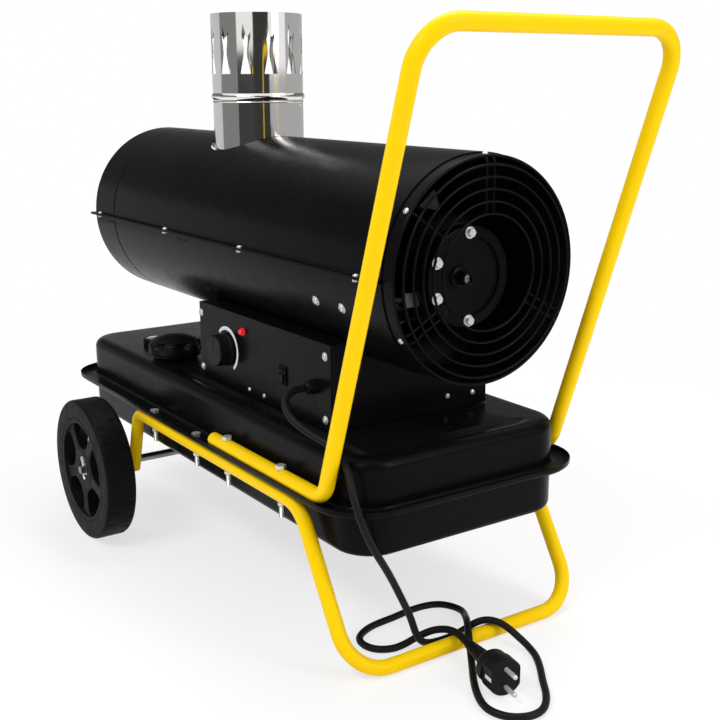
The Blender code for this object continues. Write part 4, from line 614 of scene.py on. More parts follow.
def make_drum_ends():
    fold = DRUM_INNER - SHEET
    bead_r = (DRUM.low.x - RING.low.x) / 2
    bead_x = RING.low.x + bead_r
    rim = [(DRUM_INNER, RING.high.x), (DRUM_INNER, bead_x + bead_r)]
    rim += oval(DRUM_R - bead_r, bead_x, bead_r, bead_r, range(80, -100, -20))
    rim += [(fold, bead_x - bead_r * 0.4), (fold, RING.high.x)]
    ring = lathe("outlet_rim", rim, (0.0, 0.0, DRUM_Z), (1, 0, 0), 160)
    dress(ring, black_paint, cad=["outlet_ring"], angle=40.0)

    edge = SHROUD.high.x
    cowl = [(DRUM_INNER, SHROUD.low.x)]
    cowl += oval(DRUM_INNER - COWL_ROLL, edge - COWL_ROLL, COWL_ROLL, COWL_ROLL, range(0, 181, 20))
    cowl += [(fold - COWL_FOLD, edge - 2 * COWL_ROLL), (fold, SHROUD.low.x)]
    shroud = lathe("fan_cowl", cowl, (0.0, 0.0, DRUM_Z), (1, 0, 0), 160)
    dress(shroud, black_paint, cad=["fan_shroud"], angle=40.0)


SEAM_BOLT_XS = (-0.364, -0.154, 0.038, 0.266)
SEAM_BOLT_Y = 0.1176
SIDE_SCREWS = ((0.178, 0.362), (0.226, 0.362))
COLLAR_ANGLES = (90.0, 145.0, 210.0, 330.0)
COLLAR_SCREW_X = 0.309
SEAM_SCREW = (0.0032, 0.0022)    # a head's radius and height
SEAM_NUT = (0.0036, 0.0026)
SIDE_SCREW = (0.0042, 0.0026)
COLLAR_SCREW = (0.0030, 0.0022)


def around_drum(angle):
    """The direction outward from the drum's axis, in degrees up from +Y."""
    return Vector((0.0, cos(radians(angle)), sin(radians(angle))))


def on_drum(x, y_side, z):
    """A point on the drum's skin at this x and z, and its outward direction."""
    rise = z - DRUM_Z
    y = y_side * (DRUM_R ** 2 - rise ** 2) ** 0.5
    return Vector((x, y, z)), Vector((0.0, y, rise)).normalized()


def make_drum_fasteners():
    lip = GAP / 2 + SHEET
    seams = [(x, s * SEAM_BOLT_Y) for x in SEAM_BOLT_XS for s in (-1, 1)]
    scatter("seam_screws", screw_head(*SEAM_SCREW, washer=False),
            [(Vector((x, y, DRUM_Z + lip)), UP) for x, y in seams])
    scatter("seam_nuts", hex_head(*SEAM_NUT), [(Vector((x, y, DRUM_Z - lip)), -UP) for x, y in seams])
    scatter("side_screws", screw_head(*SIDE_SCREW),
            [on_drum(x, s, z) for x, z in SIDE_SCREWS for s in (-1, 1)])
    start = Vector((COLLAR_SCREW_X, 0.0, DRUM_Z))
    scatter("collar_screws", screw_head(*COLLAR_SCREW, washer=False),
            [(start + out * DRUM_INNER, out) for out in map(around_drum, COLLAR_ANGLES)])


# Flue

FLAMES = 12
FLAME_TURN = radians(-12.0)
FLAME_FOOT = 0.240           # height of the flames' foot and tip, as shares of the collar
FLAME_TIP = 0.865
FLAME_HALF = 0.0083
FLAME_SOFT = 0.09
FLAME_CUT = 0.004            # how far the cutter reaches to each side of the wall
FLAME_EDGE = (               # one tongue: across in half widths, up in shares of its height
    (-1.0, 0.0), (1.0, 0.0), (0.80, 0.14), (0.56, 0.28), (0.24, 0.44), (0.40, 0.58), (0.62, 0.70),
    (0.70, 0.86), (0.34, 0.76), (0.02, 0.72), (-0.20, 0.84), (-0.44, 1.0), (-0.66, 0.82), (-0.62, 0.66),
    (-0.44, 0.50), (-0.46, 0.38), (-0.66, 0.24), (-0.86, 0.10),
)
BEAD_OUT = 0.0019
BEAD_H = 0.0076
LINE_OUT = 0.0005
LINE_DROP = 0.0112
LINE_H = 0.0016
FLUE_WALL = 0.0008
RIVET_ANGLES = (38.0, 218.0)
RIVET_DROP = 0.016
RIVET_EDGE = ((0.0022, 0.0), (0.0019, 0.0006), (0.0011, 0.0010), (0.0, 0.0011))


def flame_cutter(middle):
    """A wavy tongue with two tips that passes through the flue wall."""
    bm = bmesh.new()
    face = bm.faces.new([bm.verts.new((u, t, 0.0)) for u, t in softened(FLAME_EDGE, FLAME_SOFT)])
    push_out(bm, bmesh.ops.triangulate(bm, faces=[face])["faces"], 1.0)
    height = COLLAR.high.z - COLLAR.low.z
    for vert in bm.verts:
        a = middle + vert.co.x * FLAME_HALF / FLUE_R
        radius = FLUE_R + FLAME_CUT * (2 * vert.co.z - 1)
        z = COLLAR.low.z + height * (FLAME_FOOT + (FLAME_TIP - FLAME_FOOT) * vert.co.y)
        vert.co = (FLUE_X + radius * cos(a), radius * sin(a), z)
    return mesh_object("flame", bm)


def make_flue():
    inner = FLUE_R - FLUE_WALL
    joint = COLLAR.low.z
    origin = (FLUE_X, 0.0, 0.0)
    wall = [(FLUE_R, joint), (FLUE_R, COLLAR.high.z), (inner, COLLAR.high.z), (inner, joint)]
    collar = lathe("flue_crown", wall, origin, UP, 180)
    flames = [flame_cutter(FLAME_TURN + 2 * pi * k / FLAMES) for k in range(FLAMES)]
    collar = combine(collar, merge("flames", flames))
    dress(collar, stainless_steel, cad=["flue_collar"], angle=30.0)

    foot = PIPE.low.z
    neck = inner - GAP
    wall = [(inner, foot), (FLUE_R, foot)]
    wall += [(FLUE_R + LINE_OUT * sin(pi * k / 4), joint - LINE_DROP + LINE_H * k / 4) for k in range(5)]
    wall += [(FLUE_R + BEAD_OUT * sin(pi * k / 14), joint - GAP - BEAD_H * (1 - k / 14)) for k in range(15)]
    wall += [(neck, joint - GAP), (neck, PIPE.high.z), (neck - FLUE_WALL, PIPE.high.z)]
    wall += [(neck - FLUE_WALL, joint - BEAD_H), (inner, joint - BEAD_H)]
    dress(lathe("flue_tube", wall, origin, UP, 180), stainless_steel, cad=["flue_pipe"], angle=30.0)

    rivets = []
    for angle in RIVET_ANGLES:
        out = Vector((cos(radians(angle)), sin(radians(angle)), 0.0))
        rivets.append((Vector((FLUE_X, 0.0, joint - RIVET_DROP)) + out * FLUE_R, out))
    scatter("flue_rivets", lathe("rivet", [(0.0, 0.0), *RIVET_EDGE], steps=20), rivets)


# Tank

TANK_WALL_X0 = -0.398
TANK_WALL_X1 = 0.296
TANK_WALL_Y = 0.137
TANK_CORNER = 0.042
TANK_FILLET = 0.012
PAN_FILLET = TANK_FILLET * 0.7
ROOT_BEND = 0.004
FLANGE_END = 0.015
FLANGE_SIDE = 0.0225
FLANGE_LIP = 0.0055
FLANGE_Z = 0.172
GUTTER_DEPTH = 0.005
GUTTER_START = 0.003
GUTTER_WIDTH = 0.019
GUTTER_STEPS = 12
BOX_HALF_Y = 0.1035
NECK_R = 0.0263
NECK_CUT = 0.01


def tank_ring(side, end, z, dip=0.0):
    """A rounded rectangle; side and end are measured inward from the tank wall."""
    half_y = TANK_WALL_Y - side
    x0 = TANK_WALL_X0 + end
    x1 = TANK_WALL_X1 - end
    corner = max(TANK_CORNER - max(side, end), TANK_FILLET)
    run_x = x1 - x0 - 2 * corner
    run_y = 2 * (half_y - corner)
    points = []
    for cx, cy, start, along in ((x1 - corner, half_y - corner, 0, (-run_x, 0.0, 44)),
                                 (x0 + corner, half_y - corner, 90, (0.0, -run_y, 14)),
                                 (x0 + corner, corner - half_y, 180, (run_x, 0.0, 44)),
                                 (x1 - corner, corner - half_y, 270, (0.0, run_y, 14))):
        points += arc(cx, cy, corner, start, start + 90, 12)
        last = points[-1]
        steps = along[2]
        points += [(last[0] + along[0] * k / steps, last[1] + along[1] * k / steps) for k in range(1, steps)]
    return [Vector((x, y, z - dip * gutter(x, y))) for x, y in points]


def gutter(x, y):
    """1 where the spill gutter runs, along the panel side and round the fan end, fading at its two ends."""
    along = smooth_step((x - PANEL.low.x + 0.045) / 0.030)
    far = smooth_step((BOX_HALF_Y - 0.010 - y) / 0.024)
    side = 1.0 if y < 0.0 else smooth_step((x - TANK_WALL_X1 + TANK_CORNER * 1.4) / 0.020)
    return along * far * side


def loft(name, rings):
    """A sheet skin through rings of points, closed by the last one."""
    bm = bmesh.new()
    rows = [[bm.verts.new(p) for p in ring] for ring in rings]
    for lower, upper in zip(rows, rows[1:]):
        count = len(lower)
        for i in range(count):
            j = (i + 1) % count
            bm.faces.new((lower[i], lower[j], upper[j], upper[i]))
    bm.faces.new(rows[-1])
    return thickened(to_object(name, bm))


def inset_ring(inset, z, dip=0.0):
    return tank_ring(inset, inset, z, dip)


def root_bend(z, way):
    """Rings from the flange into the wall, upward or downward."""
    return [inset_ring(-ROOT_BEND * (1 - sin(a)), z + way * ROOT_BEND * (1 - cos(a)))
            for a in quarter_turn(5)]


def make_tank_top():
    top = TANK.high.z
    root = FLANGE_Z + SHEET
    rings = [tank_ring(-FLANGE_SIDE, -FLANGE_END, root + FLANGE_LIP)]
    for k in range(4):
        t = k / 3
        rings.append(tank_ring(SHEET * t - FLANGE_SIDE, SHEET * t - FLANGE_END, root + SHEET * (1 - t) ** 2))
    rings += root_bend(root, 1)
    for a in quarter_turn(8):
        rings.append(inset_ring(TANK_FILLET * (1 - cos(a)), top - TANK_FILLET * (1 - sin(a))))
    for k in range(1, GUTTER_STEPS + 1):
        t = k / GUTTER_STEPS
        inset = TANK_FILLET + GUTTER_START + GUTTER_WIDTH * t
        rings.append(inset_ring(inset, top, GUTTER_DEPTH * sin(pi * t) ** 2))
    hole = lathe("hole", band(0.0, NECK_R, top - NECK_CUT, top + NECK_CUT), (CAP.mid.x, CAP.mid.y, 0.0),
                 steps=48)
    dress(combine(loft("tank_top", rings), hole), black_paint, cad=["tank_upper"], angle=40.0)


def make_tank_pan():
    rim_z = FLANGE_Z - GAP - SHEET
    rings = [tank_ring(2 * SHEET - FLANGE_SIDE, 2 * SHEET - FLANGE_END, rim_z)] + root_bend(rim_z, -1)
    for a in quarter_turn(8):
        rings.append(inset_ring(PAN_FILLET * (1 - cos(a)), PAN.low.z + PAN_FILLET * (1 - sin(a))))
    pan = loft("tank_pan", [ring[::-1] for ring in rings])
    dress(pan, black_paint, cad=["tank_lower"], angle=40.0)


# Filler cap and gauge

CAP_LOBES = 6
CAP_LOBE_DEPTH = 0.0095
CAP_LOBE_FOOT = 0.0030       # depth of the dents beside the well
CAP_TURN = radians(25.0)
CAP_WELL_R = 0.0300
CAP_WELL_H = 0.0093          # from the cap's foot up to the floor of its well
CAP_DOME_H = 0.0115          # the crown's rise above the lobes' shoulders
CAP_CROWN = ((0.965, 0.80), (0.85, 0.60), (0.66, 0.32), (0.42, 0.10), (0.20, 0.02))
CAP_SOFT = 0.0024
LENS_T = 0.0010
DIAL_HOLE_R = 0.0035
DIAL_DROP = 0.0052
DIAL_LOW = 0.0056
DIAL_RIM_DROP = 0.0019


def make_cap():
    radius = CAP.high.x - CAP.mid.x
    low = CAP.low.z
    top = CAP.high.z
    floor = low + CAP_WELL_H
    skirt_top = low + (top - low) * 0.12
    skirt_r = radius * 0.94

    def lobes(r, height, a):
        if height < skirt_top or r < CAP_WELL_R + 0.0005:
            return r
        dent = (0.5 - 0.5 * cos(CAP_LOBES * (a - CAP_TURN))) ** 1.8
        share = smooth_step((height - floor) / (top - floor) / 0.35)
        return r - dent * (r / radius) * (CAP_LOBE_FOOT + (CAP_LOBE_DEPTH - CAP_LOBE_FOOT) * share)

    outline = [(CAP_WELL_R, low), (skirt_r, low), (skirt_r, skirt_top), (radius, skirt_top + 0.0008)]
    outline += [(radius, floor + (top - CAP_DOME_H - floor) * k / 6) for k in range(7)]
    outline += [(radius * r, top - CAP_DOME_H * drop) for r, drop in CAP_CROWN]
    outline += [(0.0, top), (0.0, floor), (CAP_WELL_R, floor)]
    cap = lathe("cap", softened(outline, CAP_SOFT), (CAP.mid.x, CAP.mid.y, 0.0), UP, 160, warp=lobes)
    dress(cap, black_plastic, "cap", cad=["filler_cap"], angle=38.0)


def make_gauge():
    middle = (GAUGE.mid.x, GAUGE.mid.y, 0.0)
    gr = GAUGE.high.x - GAUGE.mid.x
    gz = GAUGE.high.z
    outline = [(0.0, gz + 0.0004), (gr * 0.55, gz + 0.0002), (gr * 0.78, gz - 0.0006),
               (gr * 0.78, gz - 0.0006 - LENS_T), (0.0, gz - LENS_T)]
    dress(lathe("gauge_lens", outline, middle, steps=48), clear_lens, angle=50.0)
    outline = [(DIAL_HOLE_R, gz - DIAL_DROP), (gr * 0.66, gz - DIAL_DROP), (gr * 0.72, gz - DIAL_RIM_DROP),
               (gr * 0.77, gz - DIAL_RIM_DROP), (gr * 0.77, gz - DIAL_LOW), (DIAL_HOLE_R, gz - DIAL_LOW)]
    dress(lathe("gauge_dial", outline, middle, steps=48), white_print)


# Frames

TUBE_R = 0.008
FRAME_Y = 0.150
HANDLE_FOOT_X = 0.020
HANDLE_BEND_X = 0.256
HANDLE_BEND_R = 0.024
HANDLE_CORNER_R = 0.040
REAR_BEND_X = -0.192
REAR_BEND_R = 0.020
LEG_TOP_X = 0.2096
LEG_BEND_R = 0.040
FOOT_BAR_X = 0.3035
FOOT_CORNER_R = 0.046
TUBE_END_PAST = 0.014
SHORT_BOLT_XS = (-0.141, -0.024)
LONG_BOLT_XS = (0.055, 0.173)
BOLT_END_Z = 0.136
NUT_H = 0.0030
NUT_R = 0.0044
BAR_Z = FLANGE_Z - 2 * GAP - 2 * SHEET - TUBE_R
HANDLE_Z = HANDLE.low.z + TUBE_R


def end_cap(name, point, out):
    """The closed, slightly rounded end of a tube."""
    reach = TUBE_R * 0.30
    outline = [(0.0, -reach), (TUBE_R, -reach), (TUBE_R, 0.0)]
    outline += oval(0.0, 0.0, TUBE_R, reach, range(15, 90, 15)) + [(0.0, reach)]
    return lathe(name, outline, point, out, 40)


def both_sides(path):
    """A path of (x, z) points along the panel side and back along the other side."""
    return [(x, -FRAME_Y, z) for x, z in path] + [(x, FRAME_Y, z) for x, z in reversed(path)]


def make_handle():
    foot_x = HANDLE_FOOT_X + TUBE_R * 0.3
    path = [(foot_x, HANDLE_Z), (HANDLE_BEND_X, HANDLE_Z), (HANDLE.high.x - TUBE_R, HANDLE.high.z - TUBE_R)]
    radii = (HANDLE_BEND_R, HANDLE_CORNER_R, HANDLE_CORNER_R, HANDLE_BEND_R)
    handle = pipe("handle", rounded_path(both_sides(path), radii), TUBE_R)
    dress(handle, yellow_paint, cad=["handle_frame"])
    ends = [end_cap("handle_ends", (foot_x, s * FRAME_Y, HANDLE_Z), (-1, 0, 0)) for s in (-1, 1)]
    dress(merge("handle_ends", ends), yellow_paint)


def make_legs():
    bend = Vector((REAR_BEND_X, BAR_Z))
    axle = Vector((TYRE.mid.x, TYRE.mid.z))
    tail = axle + (axle - bend).normalized() * TUBE_END_PAST
    path = [tuple(tail), tuple(bend), (LEG_TOP_X, BAR_Z), (FOOT_BAR_X, TUBE_R)]
    radii = (REAR_BEND_R, LEG_BEND_R, FOOT_CORNER_R, FOOT_CORNER_R, LEG_BEND_R, REAR_BEND_R)
    lower = pipe("leg_frame", rounded_path(both_sides(path), radii), TUBE_R)
    dress(lower, yellow_paint, cad=["lower_frame"])


def make_frame_bolts():
    bolts = [(x, side, FLANGE_Z + SHEET + GAP) for side in (-1, 1) for x in SHORT_BOLT_XS]
    bolts += [(x, side, HANDLE_Z + TUBE_R) for side in (-1, 1) for x in LONG_BOLT_XS]
    for number, (x, side, seat) in enumerate(bolts, 1):
        make_frame_bolt(number, x, side * FRAME_Y, seat)


def make_frame_bolt(number, x, y, seat):
    """A hexagon bolt with a nut under the frame tube and its threaded end."""
    tube_low = BAR_Z - TUBE_R
    outline = [(0.0, BOLT_END_Z)]
    z = BOLT_END_Z
    while z < tube_low - THREAD_PITCH:
        outline += [(BOLT_R * 0.86, z), (BOLT_R, z + THREAD_PITCH / 2)]
        z += THREAD_PITCH
    outline += [(BOLT_R, z), (BOLT_R, seat), (0.0, seat)]
    shank = lathe("shank", outline, (x, y, 0.0), steps=20)
    head = hex_head(HEX_R, HEX_H)
    head.data.transform(Matrix.Translation((x, y, seat)) @ Matrix.Rotation(0.7 * number, 4, "Z"))
    nut = hex_head(NUT_R, NUT_H)
    nut.data.transform(Matrix.Translation((x, y, tube_low - GAP)) @ turned(180, "X")
                       @ Matrix.Rotation(0.4 * number, 4, "Z"))
    whole = merge(f"bolt_{number}", [shank, head, nut])
    dress(whole, zinc_steel, cad=[f"frame_bolt_{number}"], angle=30.0)


# Wheels

TYRE_R = (TYRE.high.z - TYRE.low.z) / 2
TYRE_W = TYRE.high.y - TYRE.low.y
TYRE_FACE = -TYRE.low.y
TYRE_BACK = TYRE_FACE - TYRE_W
TYRE_SHOULDER = 0.0042
TREAD_LUGS = 26
TREAD_STEPS = 18
LUG_DEPTH = 0.0006
RIM_R = 0.068
RIM_INNER = RIM_R - 0.006
RIM_FACE = TYRE_FACE - 0.0005
WEB_FACE = TYRE_FACE - 0.0036
WEB_T = 0.008
WEB_BACK = WEB_FACE - WEB_T
HUB_R = 0.017
HUB_END = TYRE_FACE - 0.052
HUB_DISC_R = 0.0255
WELL_R = 0.0105
WELL_FLOOR = WEB_FACE - 0.0036
AXLE_BORE = 0.005 + GAP
WHEEL_WASHER_R = 0.0088
WHEEL_WASHER_T = 0.0012
SPOKES = 5
WINDOW_EDGE = (              # half of a window: radius, and degrees from its middle
    (0.0290, 13.0), (0.0345, 24.0), (0.0500, 28.0), (0.0575, 27.5), (0.0612, 21.0), (0.0624, 10.0),
)
WINDOW_SOFT = 0.0060


def tread(r, height, a):
    """Shallow blocks along both shoulders of the tread, staggered side to side."""
    middle = TYRE_FACE - TYRE_W / 2
    across = abs(height - middle) / (TYRE_W / 2)
    if r < TYRE_R - 0.0025 or across < 0.30 or across > 0.92:
        return r
    share = (a * TREAD_LUGS / (2 * pi) + (0.5 if height > middle else 0.0)) % 1.0
    edge = min(share, 1.0 - share)
    return r - LUG_DEPTH * smooth_step((0.15 - edge) / 0.05)


def tyre_outline():
    round_r = TYRE_R - TYRE_SHOULDER
    rows = [(RIM_R + GAP, TYRE_BACK + TYRE_SHOULDER), (round_r, TYRE_BACK)]
    rows += oval(round_r, TYRE_BACK + TYRE_SHOULDER, TYRE_SHOULDER, TYRE_SHOULDER, range(-75, 1, 15))
    flat = TYRE_W - 2 * TYRE_SHOULDER
    rows += [(TYRE_R, TYRE_BACK + TYRE_SHOULDER + flat * k / TREAD_STEPS) for k in range(1, TREAD_STEPS)]
    rows += oval(round_r, TYRE_FACE - TYRE_SHOULDER, TYRE_SHOULDER, TYRE_SHOULDER, range(0, 90, 15))
    return rows + [(round_r, TYRE_FACE), (RIM_R + GAP, RIM_FACE)]


def wheel_window(centre, side, number):
    """The cutter of one of the windows between the spokes."""
    middle = 90.0 + number * 360.0 / SPOKES
    turns = [(r, middle + a) for r, a in WINDOW_EDGE] + [(WINDOW_EDGE[-1][0], middle)]
    turns += [(r, middle - a) for r, a in reversed(WINDOW_EDGE)]
    outline = softened([(r * cos(radians(a)), r * sin(radians(a))) for r, a in turns], WINDOW_SOFT, 4)
    face = centre + Vector((0.0, side * WEB_FACE, 0.0))
    pose = Matrix.Translation(face) @ turned(90, "X") @ Matrix.Translation((0.0, 0.0, -2 * WEB_T))
    return prism("window", outline, pose, 4 * WEB_T)


def make_tyre(centre, side, name):
    tyre = lathe(f"tyre_{name}_tread", tyre_outline(), centre, (0, side, 0), TREAD_LUGS * 16, warp=tread)
    dress(tyre, tyre_rubber, f"{name}_wheel", cad=[f"tyre_{name}"], angle=50.0)


def make_rim(centre, side, name):
    axis = (0, side, 0)
    foot = TYRE_BACK + TYRE_SHOULDER
    outline = [(RIM_R, foot), (RIM_R, RIM_FACE), (RIM_INNER, RIM_FACE), (RIM_INNER - 0.0015, WEB_FACE),
               (WELL_R, WEB_FACE), (WELL_R, WEB_BACK), (RIM_INNER, WEB_BACK), (RIM_INNER, foot)]
    rim = lathe(f"rim_{name}", softened(outline, 0.0010), centre, axis, 120)
    rim = combine(rim, merge("windows", [wheel_window(centre, side, i) for i in range(SPOKES)]))
    edge = rim.modifiers.new("round", "BEVEL")
    edge.width = 0.0012
    edge.segments = 2
    edge.angle_limit = radians(50.0)
    rim = bake(rim)
    back = WEB_BACK - 0.001
    face = WEB_FACE + 0.0002
    outline = [(AXLE_BORE, HUB_END), (HUB_R * 0.9, HUB_END), (HUB_R, back), (HUB_DISC_R, back),
               (HUB_DISC_R, face), (WELL_R, face), (WELL_R * 0.94, WELL_FLOOR), (AXLE_BORE, WELL_FLOOR)]
    hub = lathe("hub", softened(outline, 0.0006), centre, axis, 64)
    whole = merge(f"rim_{name}", [rim, hub])
    dress(whole, wheel_plastic, f"{name}_wheel", cad=[f"wheel_{name}"], angle=34.0)


def make_wheel_washer(centre, side, name):
    seat = WELL_FLOOR + 0.0002
    outline = softened(band(AXLE_BORE, WHEEL_WASHER_R, seat, seat + WHEEL_WASHER_T), 0.0003)
    dress(lathe(f"washer_{name}", outline, centre, (0, side, 0), 48), zinc_steel)


def make_wheels():
    centre = Vector((TYRE.mid.x, 0.0, TYRE_R))
    for side, name in ((-1, "left"), (1, "right")):
        make_tyre(centre, side, name)
        make_rim(centre, side, name)
        make_wheel_washer(centre, side, name)


# Fan end

GUARD_WIRE_R = 0.0013
GUARD_RINGS = (0.1020, 0.0907, 0.0794, 0.0678, 0.0562)
GUARD_STEPS = 120
STAY_ANGLES = (90.0, 210.0, 330.0)
STAY_HALF = 0.0045
STAY_R = 0.1078
STAY_BEND_R = 0.003
SINGLE_ANGLE = 145.0
GUARD_X = 0.3195
WIRE_TUCK = 0.012


def make_guard():
    wires = []
    for radius in GUARD_RINGS:
        turns = [2 * pi * k / GUARD_STEPS for k in range(GUARD_STEPS)]
        points = [(GUARD_X, radius * cos(a), DRUM_Z + radius * sin(a)) for a in turns]
        wires.append(bake(pipe("ring", points, GUARD_WIRE_R, 3, cyclic=True)))
    behind = Vector((GUARD_X - GUARD_WIRE_R * 1.5, 0.0, DRUM_Z))
    stays = [(angle, s) for angle in STAY_ANGLES for s in (-1, 1)] + [(SINGLE_ANGLE, 0)]
    for angle, s in stays:
        out = around_drum(angle)
        start = behind + Vector((0.0, -out.z, out.y)) * s * STAY_HALF
        end = start + out * STAY_R
        foot = start + out * (GUARD_RINGS[-1] - GUARD_WIRE_R)
        corners = [foot, end, (SHROUD.high.x - WIRE_TUCK, end.y, end.z)]
        wires.append(bake(pipe("wire", rounded_path(corners, (STAY_BEND_R,), 12.0), GUARD_WIRE_R, 3)))
    dress(merge("guard_wires", wires), black_paint, cad=["fan_guard"], angle=60.0)


PUMP_BOLT_ANGLES = (90.0, 157.0, 204.0, 270.0)
PUMP_BOLT_CIRCLE = 0.0435
PUMP_BOLT = (0.0044, 0.0042)     # the head's radius and height
PUMP_WASHER_R = 0.0060
PUMP_WASHER_T = 0.0012
PUMP_BOLT_SEAT = 0.0008          # a little inside the washer
PUMP_FRONT = 0.289
NOSE_Y = -0.014
NOSE_RISE = 0.0015
NOSE_R = 0.0068
NOSE_COLLAR_R = NOSE_R * 1.5
RECESS_EDGE = 0.0105
RECESS_DEPTH = 0.0030
RECESS_SIDE = 0.004          # the recess stops this far from the pump's middle


def make_pump():
    radius = COVER.high.y
    middle = COVER.mid.z
    outline = softened(band(0.0, radius, COVER.low.x, PUMP_FRONT)[::-1], 0.0018)
    cover = lathe("pump_face", outline, (0.0, 0.0, middle), (1, 0, 0), 120)
    recess_r = radius - RECESS_EDGE
    flat = degrees(acos(RECESS_SIDE / recess_r))
    across = Matrix(((0, 0, 1, 0), (1, 0, 0, 0), (0, 1, 0, 0), (0, 0, 0, 1)))
    pose = Matrix.Translation((PUMP_FRONT - RECESS_DEPTH, 0.0, middle)) @ across
    cover = combine(cover, prism("recess", arc(0.0, 0.0, recess_r, -flat, flat, 40), pose, 0.01))
    outline = [(0.0, -0.002), (NOSE_COLLAR_R, -0.002), (NOSE_COLLAR_R, 0.003), (NOSE_R, 0.0035),
               (NOSE_R, COVER.high.x - PUMP_FRONT), (NOSE_R * 0.68, COVER.high.x - PUMP_FRONT),
               (NOSE_R * 0.66, 0.004), (0.0, 0.004)]
    nose = lathe("nose", softened(outline, 0.0007), (PUMP_FRONT, NOSE_Y, middle + NOSE_RISE), (1, 0, 0), 48)
    dress(merge("pump_face", [cover, nose]), black_paint, cad=["pump_cover"], angle=35.0)


def make_pump_bolts():
    centre = Vector((PUMP_FRONT, 0.0, COVER.mid.z))
    washer = lathe("washer", softened(band(0.0, PUMP_WASHER_R, 0.0, PUMP_WASHER_T), 0.0003), steps=32)
    head = hex_head(*PUMP_BOLT)
    head.data.transform(Matrix.Translation((0.0, 0.0, PUMP_BOLT_SEAT)))
    places = [(centre + around_drum(angle) * PUMP_BOLT_CIRCLE, Vector((1.0, 0.0, 0.0)))
              for angle in PUMP_BOLT_ANGLES]
    scatter("pump_bolts", merge("bolt", [washer, head]), places)


# Control panel

KNOB_H = 0.018
KNOB_BASE_H = 0.0030
KNOB_GRIP_Z = 0.0036         # where the ribbed grip starts
KNOB_RIBS = 40
KNOB_RIB_DEPTH = 0.00035
GROOVE_SIZE = (0.0014, 0.0030)
SCALE_OUTER = 0.0270
SCALE_INNER = 0.0235
SCALE_SWELL = 0.0010
SCALE_SWELL_END = 0.625
SCALE_ANGLES = (137.0, -56.0)
SCALE_STEPS = 60
SCALE_T = 0.0002
LENS_SHARE = 0.80
LENS_FOOT_H = 0.0014
PANEL_SCREW = (0.0036, 0.0022)   # a head's radius and height
SMALL_SCREW = (0.0027, 0.0018)
END_SCREW = (0.0032, 0.0020)
PANEL_SCREWS = ((-0.091, 0.305), (-0.091, 0.2375), (0.188, 0.305), (0.188, 0.2375))
SMALL_SCREWS = ((0.0255, 0.234), (0.0593, 0.234))
END_SCREWS = ((0.0486, 0.241), (0.0838, 0.240))


def on_panel(x, z, y=PANEL_Y):
    """The pose of a flat outline that is pushed out of the panel."""
    return Matrix.Translation((x, y, z)) @ turned(90, "X")


def wall_screws(name, screw, places, y, way):
    """Screws at (x, z) places on a wall that faces -Y or +Y."""
    scatter(name, screw, [(Vector((x, y, z)), Vector((0.0, way, 0.0))) for x, z in places])


def make_knob():
    radius = KNOB.high.x - KNOB.mid.x
    front = Vector((KNOB.mid.x, PANEL_Y - GAP, KNOB.mid.z))

    def ribs(r, height, a):
        if r > radius * 0.93 and KNOB_GRIP_Z + 0.0002 < height < KNOB_H - 0.0020:
            return r - KNOB_RIB_DEPTH * (0.5 - 0.5 * cos(KNOB_RIBS * a))
        return r

    outline = [(0.0, -0.002), (0.003, -0.002), (0.003, 0.0), (radius, 0.0), (radius, KNOB_BASE_H)]
    grip = KNOB_H - 0.0020 - KNOB_GRIP_Z
    outline += [(radius * (0.97 - 0.03 * k / 6), KNOB_GRIP_Z + grip * k / 6) for k in range(7)]
    outline += [(radius * 0.92, KNOB_H - 0.0008), (radius * 0.88, KNOB_H), (0.0, KNOB_H)]
    knob = lathe("knob_cap", outline, front, (0, -1, 0), KNOB_RIBS * 6, warp=ribs)
    groove = block("groove", (*GROOVE_SIZE, radius * 0.85), front + Vector((0.0, -KNOB_H, radius * 0.5)))
    dress(combine(knob, groove), black_plastic, "knob", cad=["thermostat_knob"], angle=36.0)


def make_scale():
    """The knob's white scale, a little wider in its first part."""
    outer = []
    inner = []
    for k in range(SCALE_STEPS + 1):
        t = k / SCALE_STEPS
        a = radians(SCALE_ANGLES[0] + (SCALE_ANGLES[1] - SCALE_ANGLES[0]) * t)
        swell = SCALE_SWELL * sin(pi * t / SCALE_SWELL_END) if t < SCALE_SWELL_END else 0.0
        outer.append((SCALE_OUTER * cos(a), SCALE_OUTER * sin(a)))
        inner.append(((SCALE_INNER - swell) * cos(a), (SCALE_INNER - swell) * sin(a)))
    dial = prism("dial_scale", outer + inner[::-1], on_panel(KNOB.mid.x, KNOB.mid.z), SCALE_T)
    dress(dial, white_print)


def make_lamp():
    lens_r = (LAMP.high.x - LAMP.mid.x) * LENS_SHARE
    height = PANEL_Y - LAMP.low.y
    dome = [(lens_r, 0.0), (lens_r, 0.0010), (lens_r * 0.86, LENS_FOOT_H)]
    dome += oval(0.0, LENS_FOOT_H, lens_r * 0.84, height - LENS_FOOT_H, range(10, 90, 10))
    dome += [(0.0, height), (0.0, -0.010), (lens_r * 0.8, -0.010), (lens_r * 0.8, 0.0)]
    lamp = lathe("lamp_lens", dome, (LAMP.mid.x, PANEL_Y - GAP, LAMP.mid.z), (0, -1, 0), 48)
    # red_lens carries a painted glow: a faint emission on the lens.
    dress(lamp, red_lens, cad=["indicator_lamp"], angle=40.0)


def make_wall_screws():
    wall_screws("panel_screws", screw_head(*PANEL_SCREW), PANEL_SCREWS, PANEL_Y, -1.0)
    wall_screws("small_screws", screw_head(*SMALL_SCREW, washer=False), SMALL_SCREWS, PANEL_Y, -1.0)
    end_x = box("base_box").high.x
    scatter("end_screws", screw_head(*END_SCREW, washer=False),
            [(Vector((end_x, y, z)), Vector((1.0, 0.0, 0.0))) for y, z in END_SCREWS])
    back_y = box("service_cover").high.y
    wall_screws("cover_screws", screw_head(*PANEL_SCREW), PANEL_SCREWS, back_y, 1.0)


# Gland, cord and plug

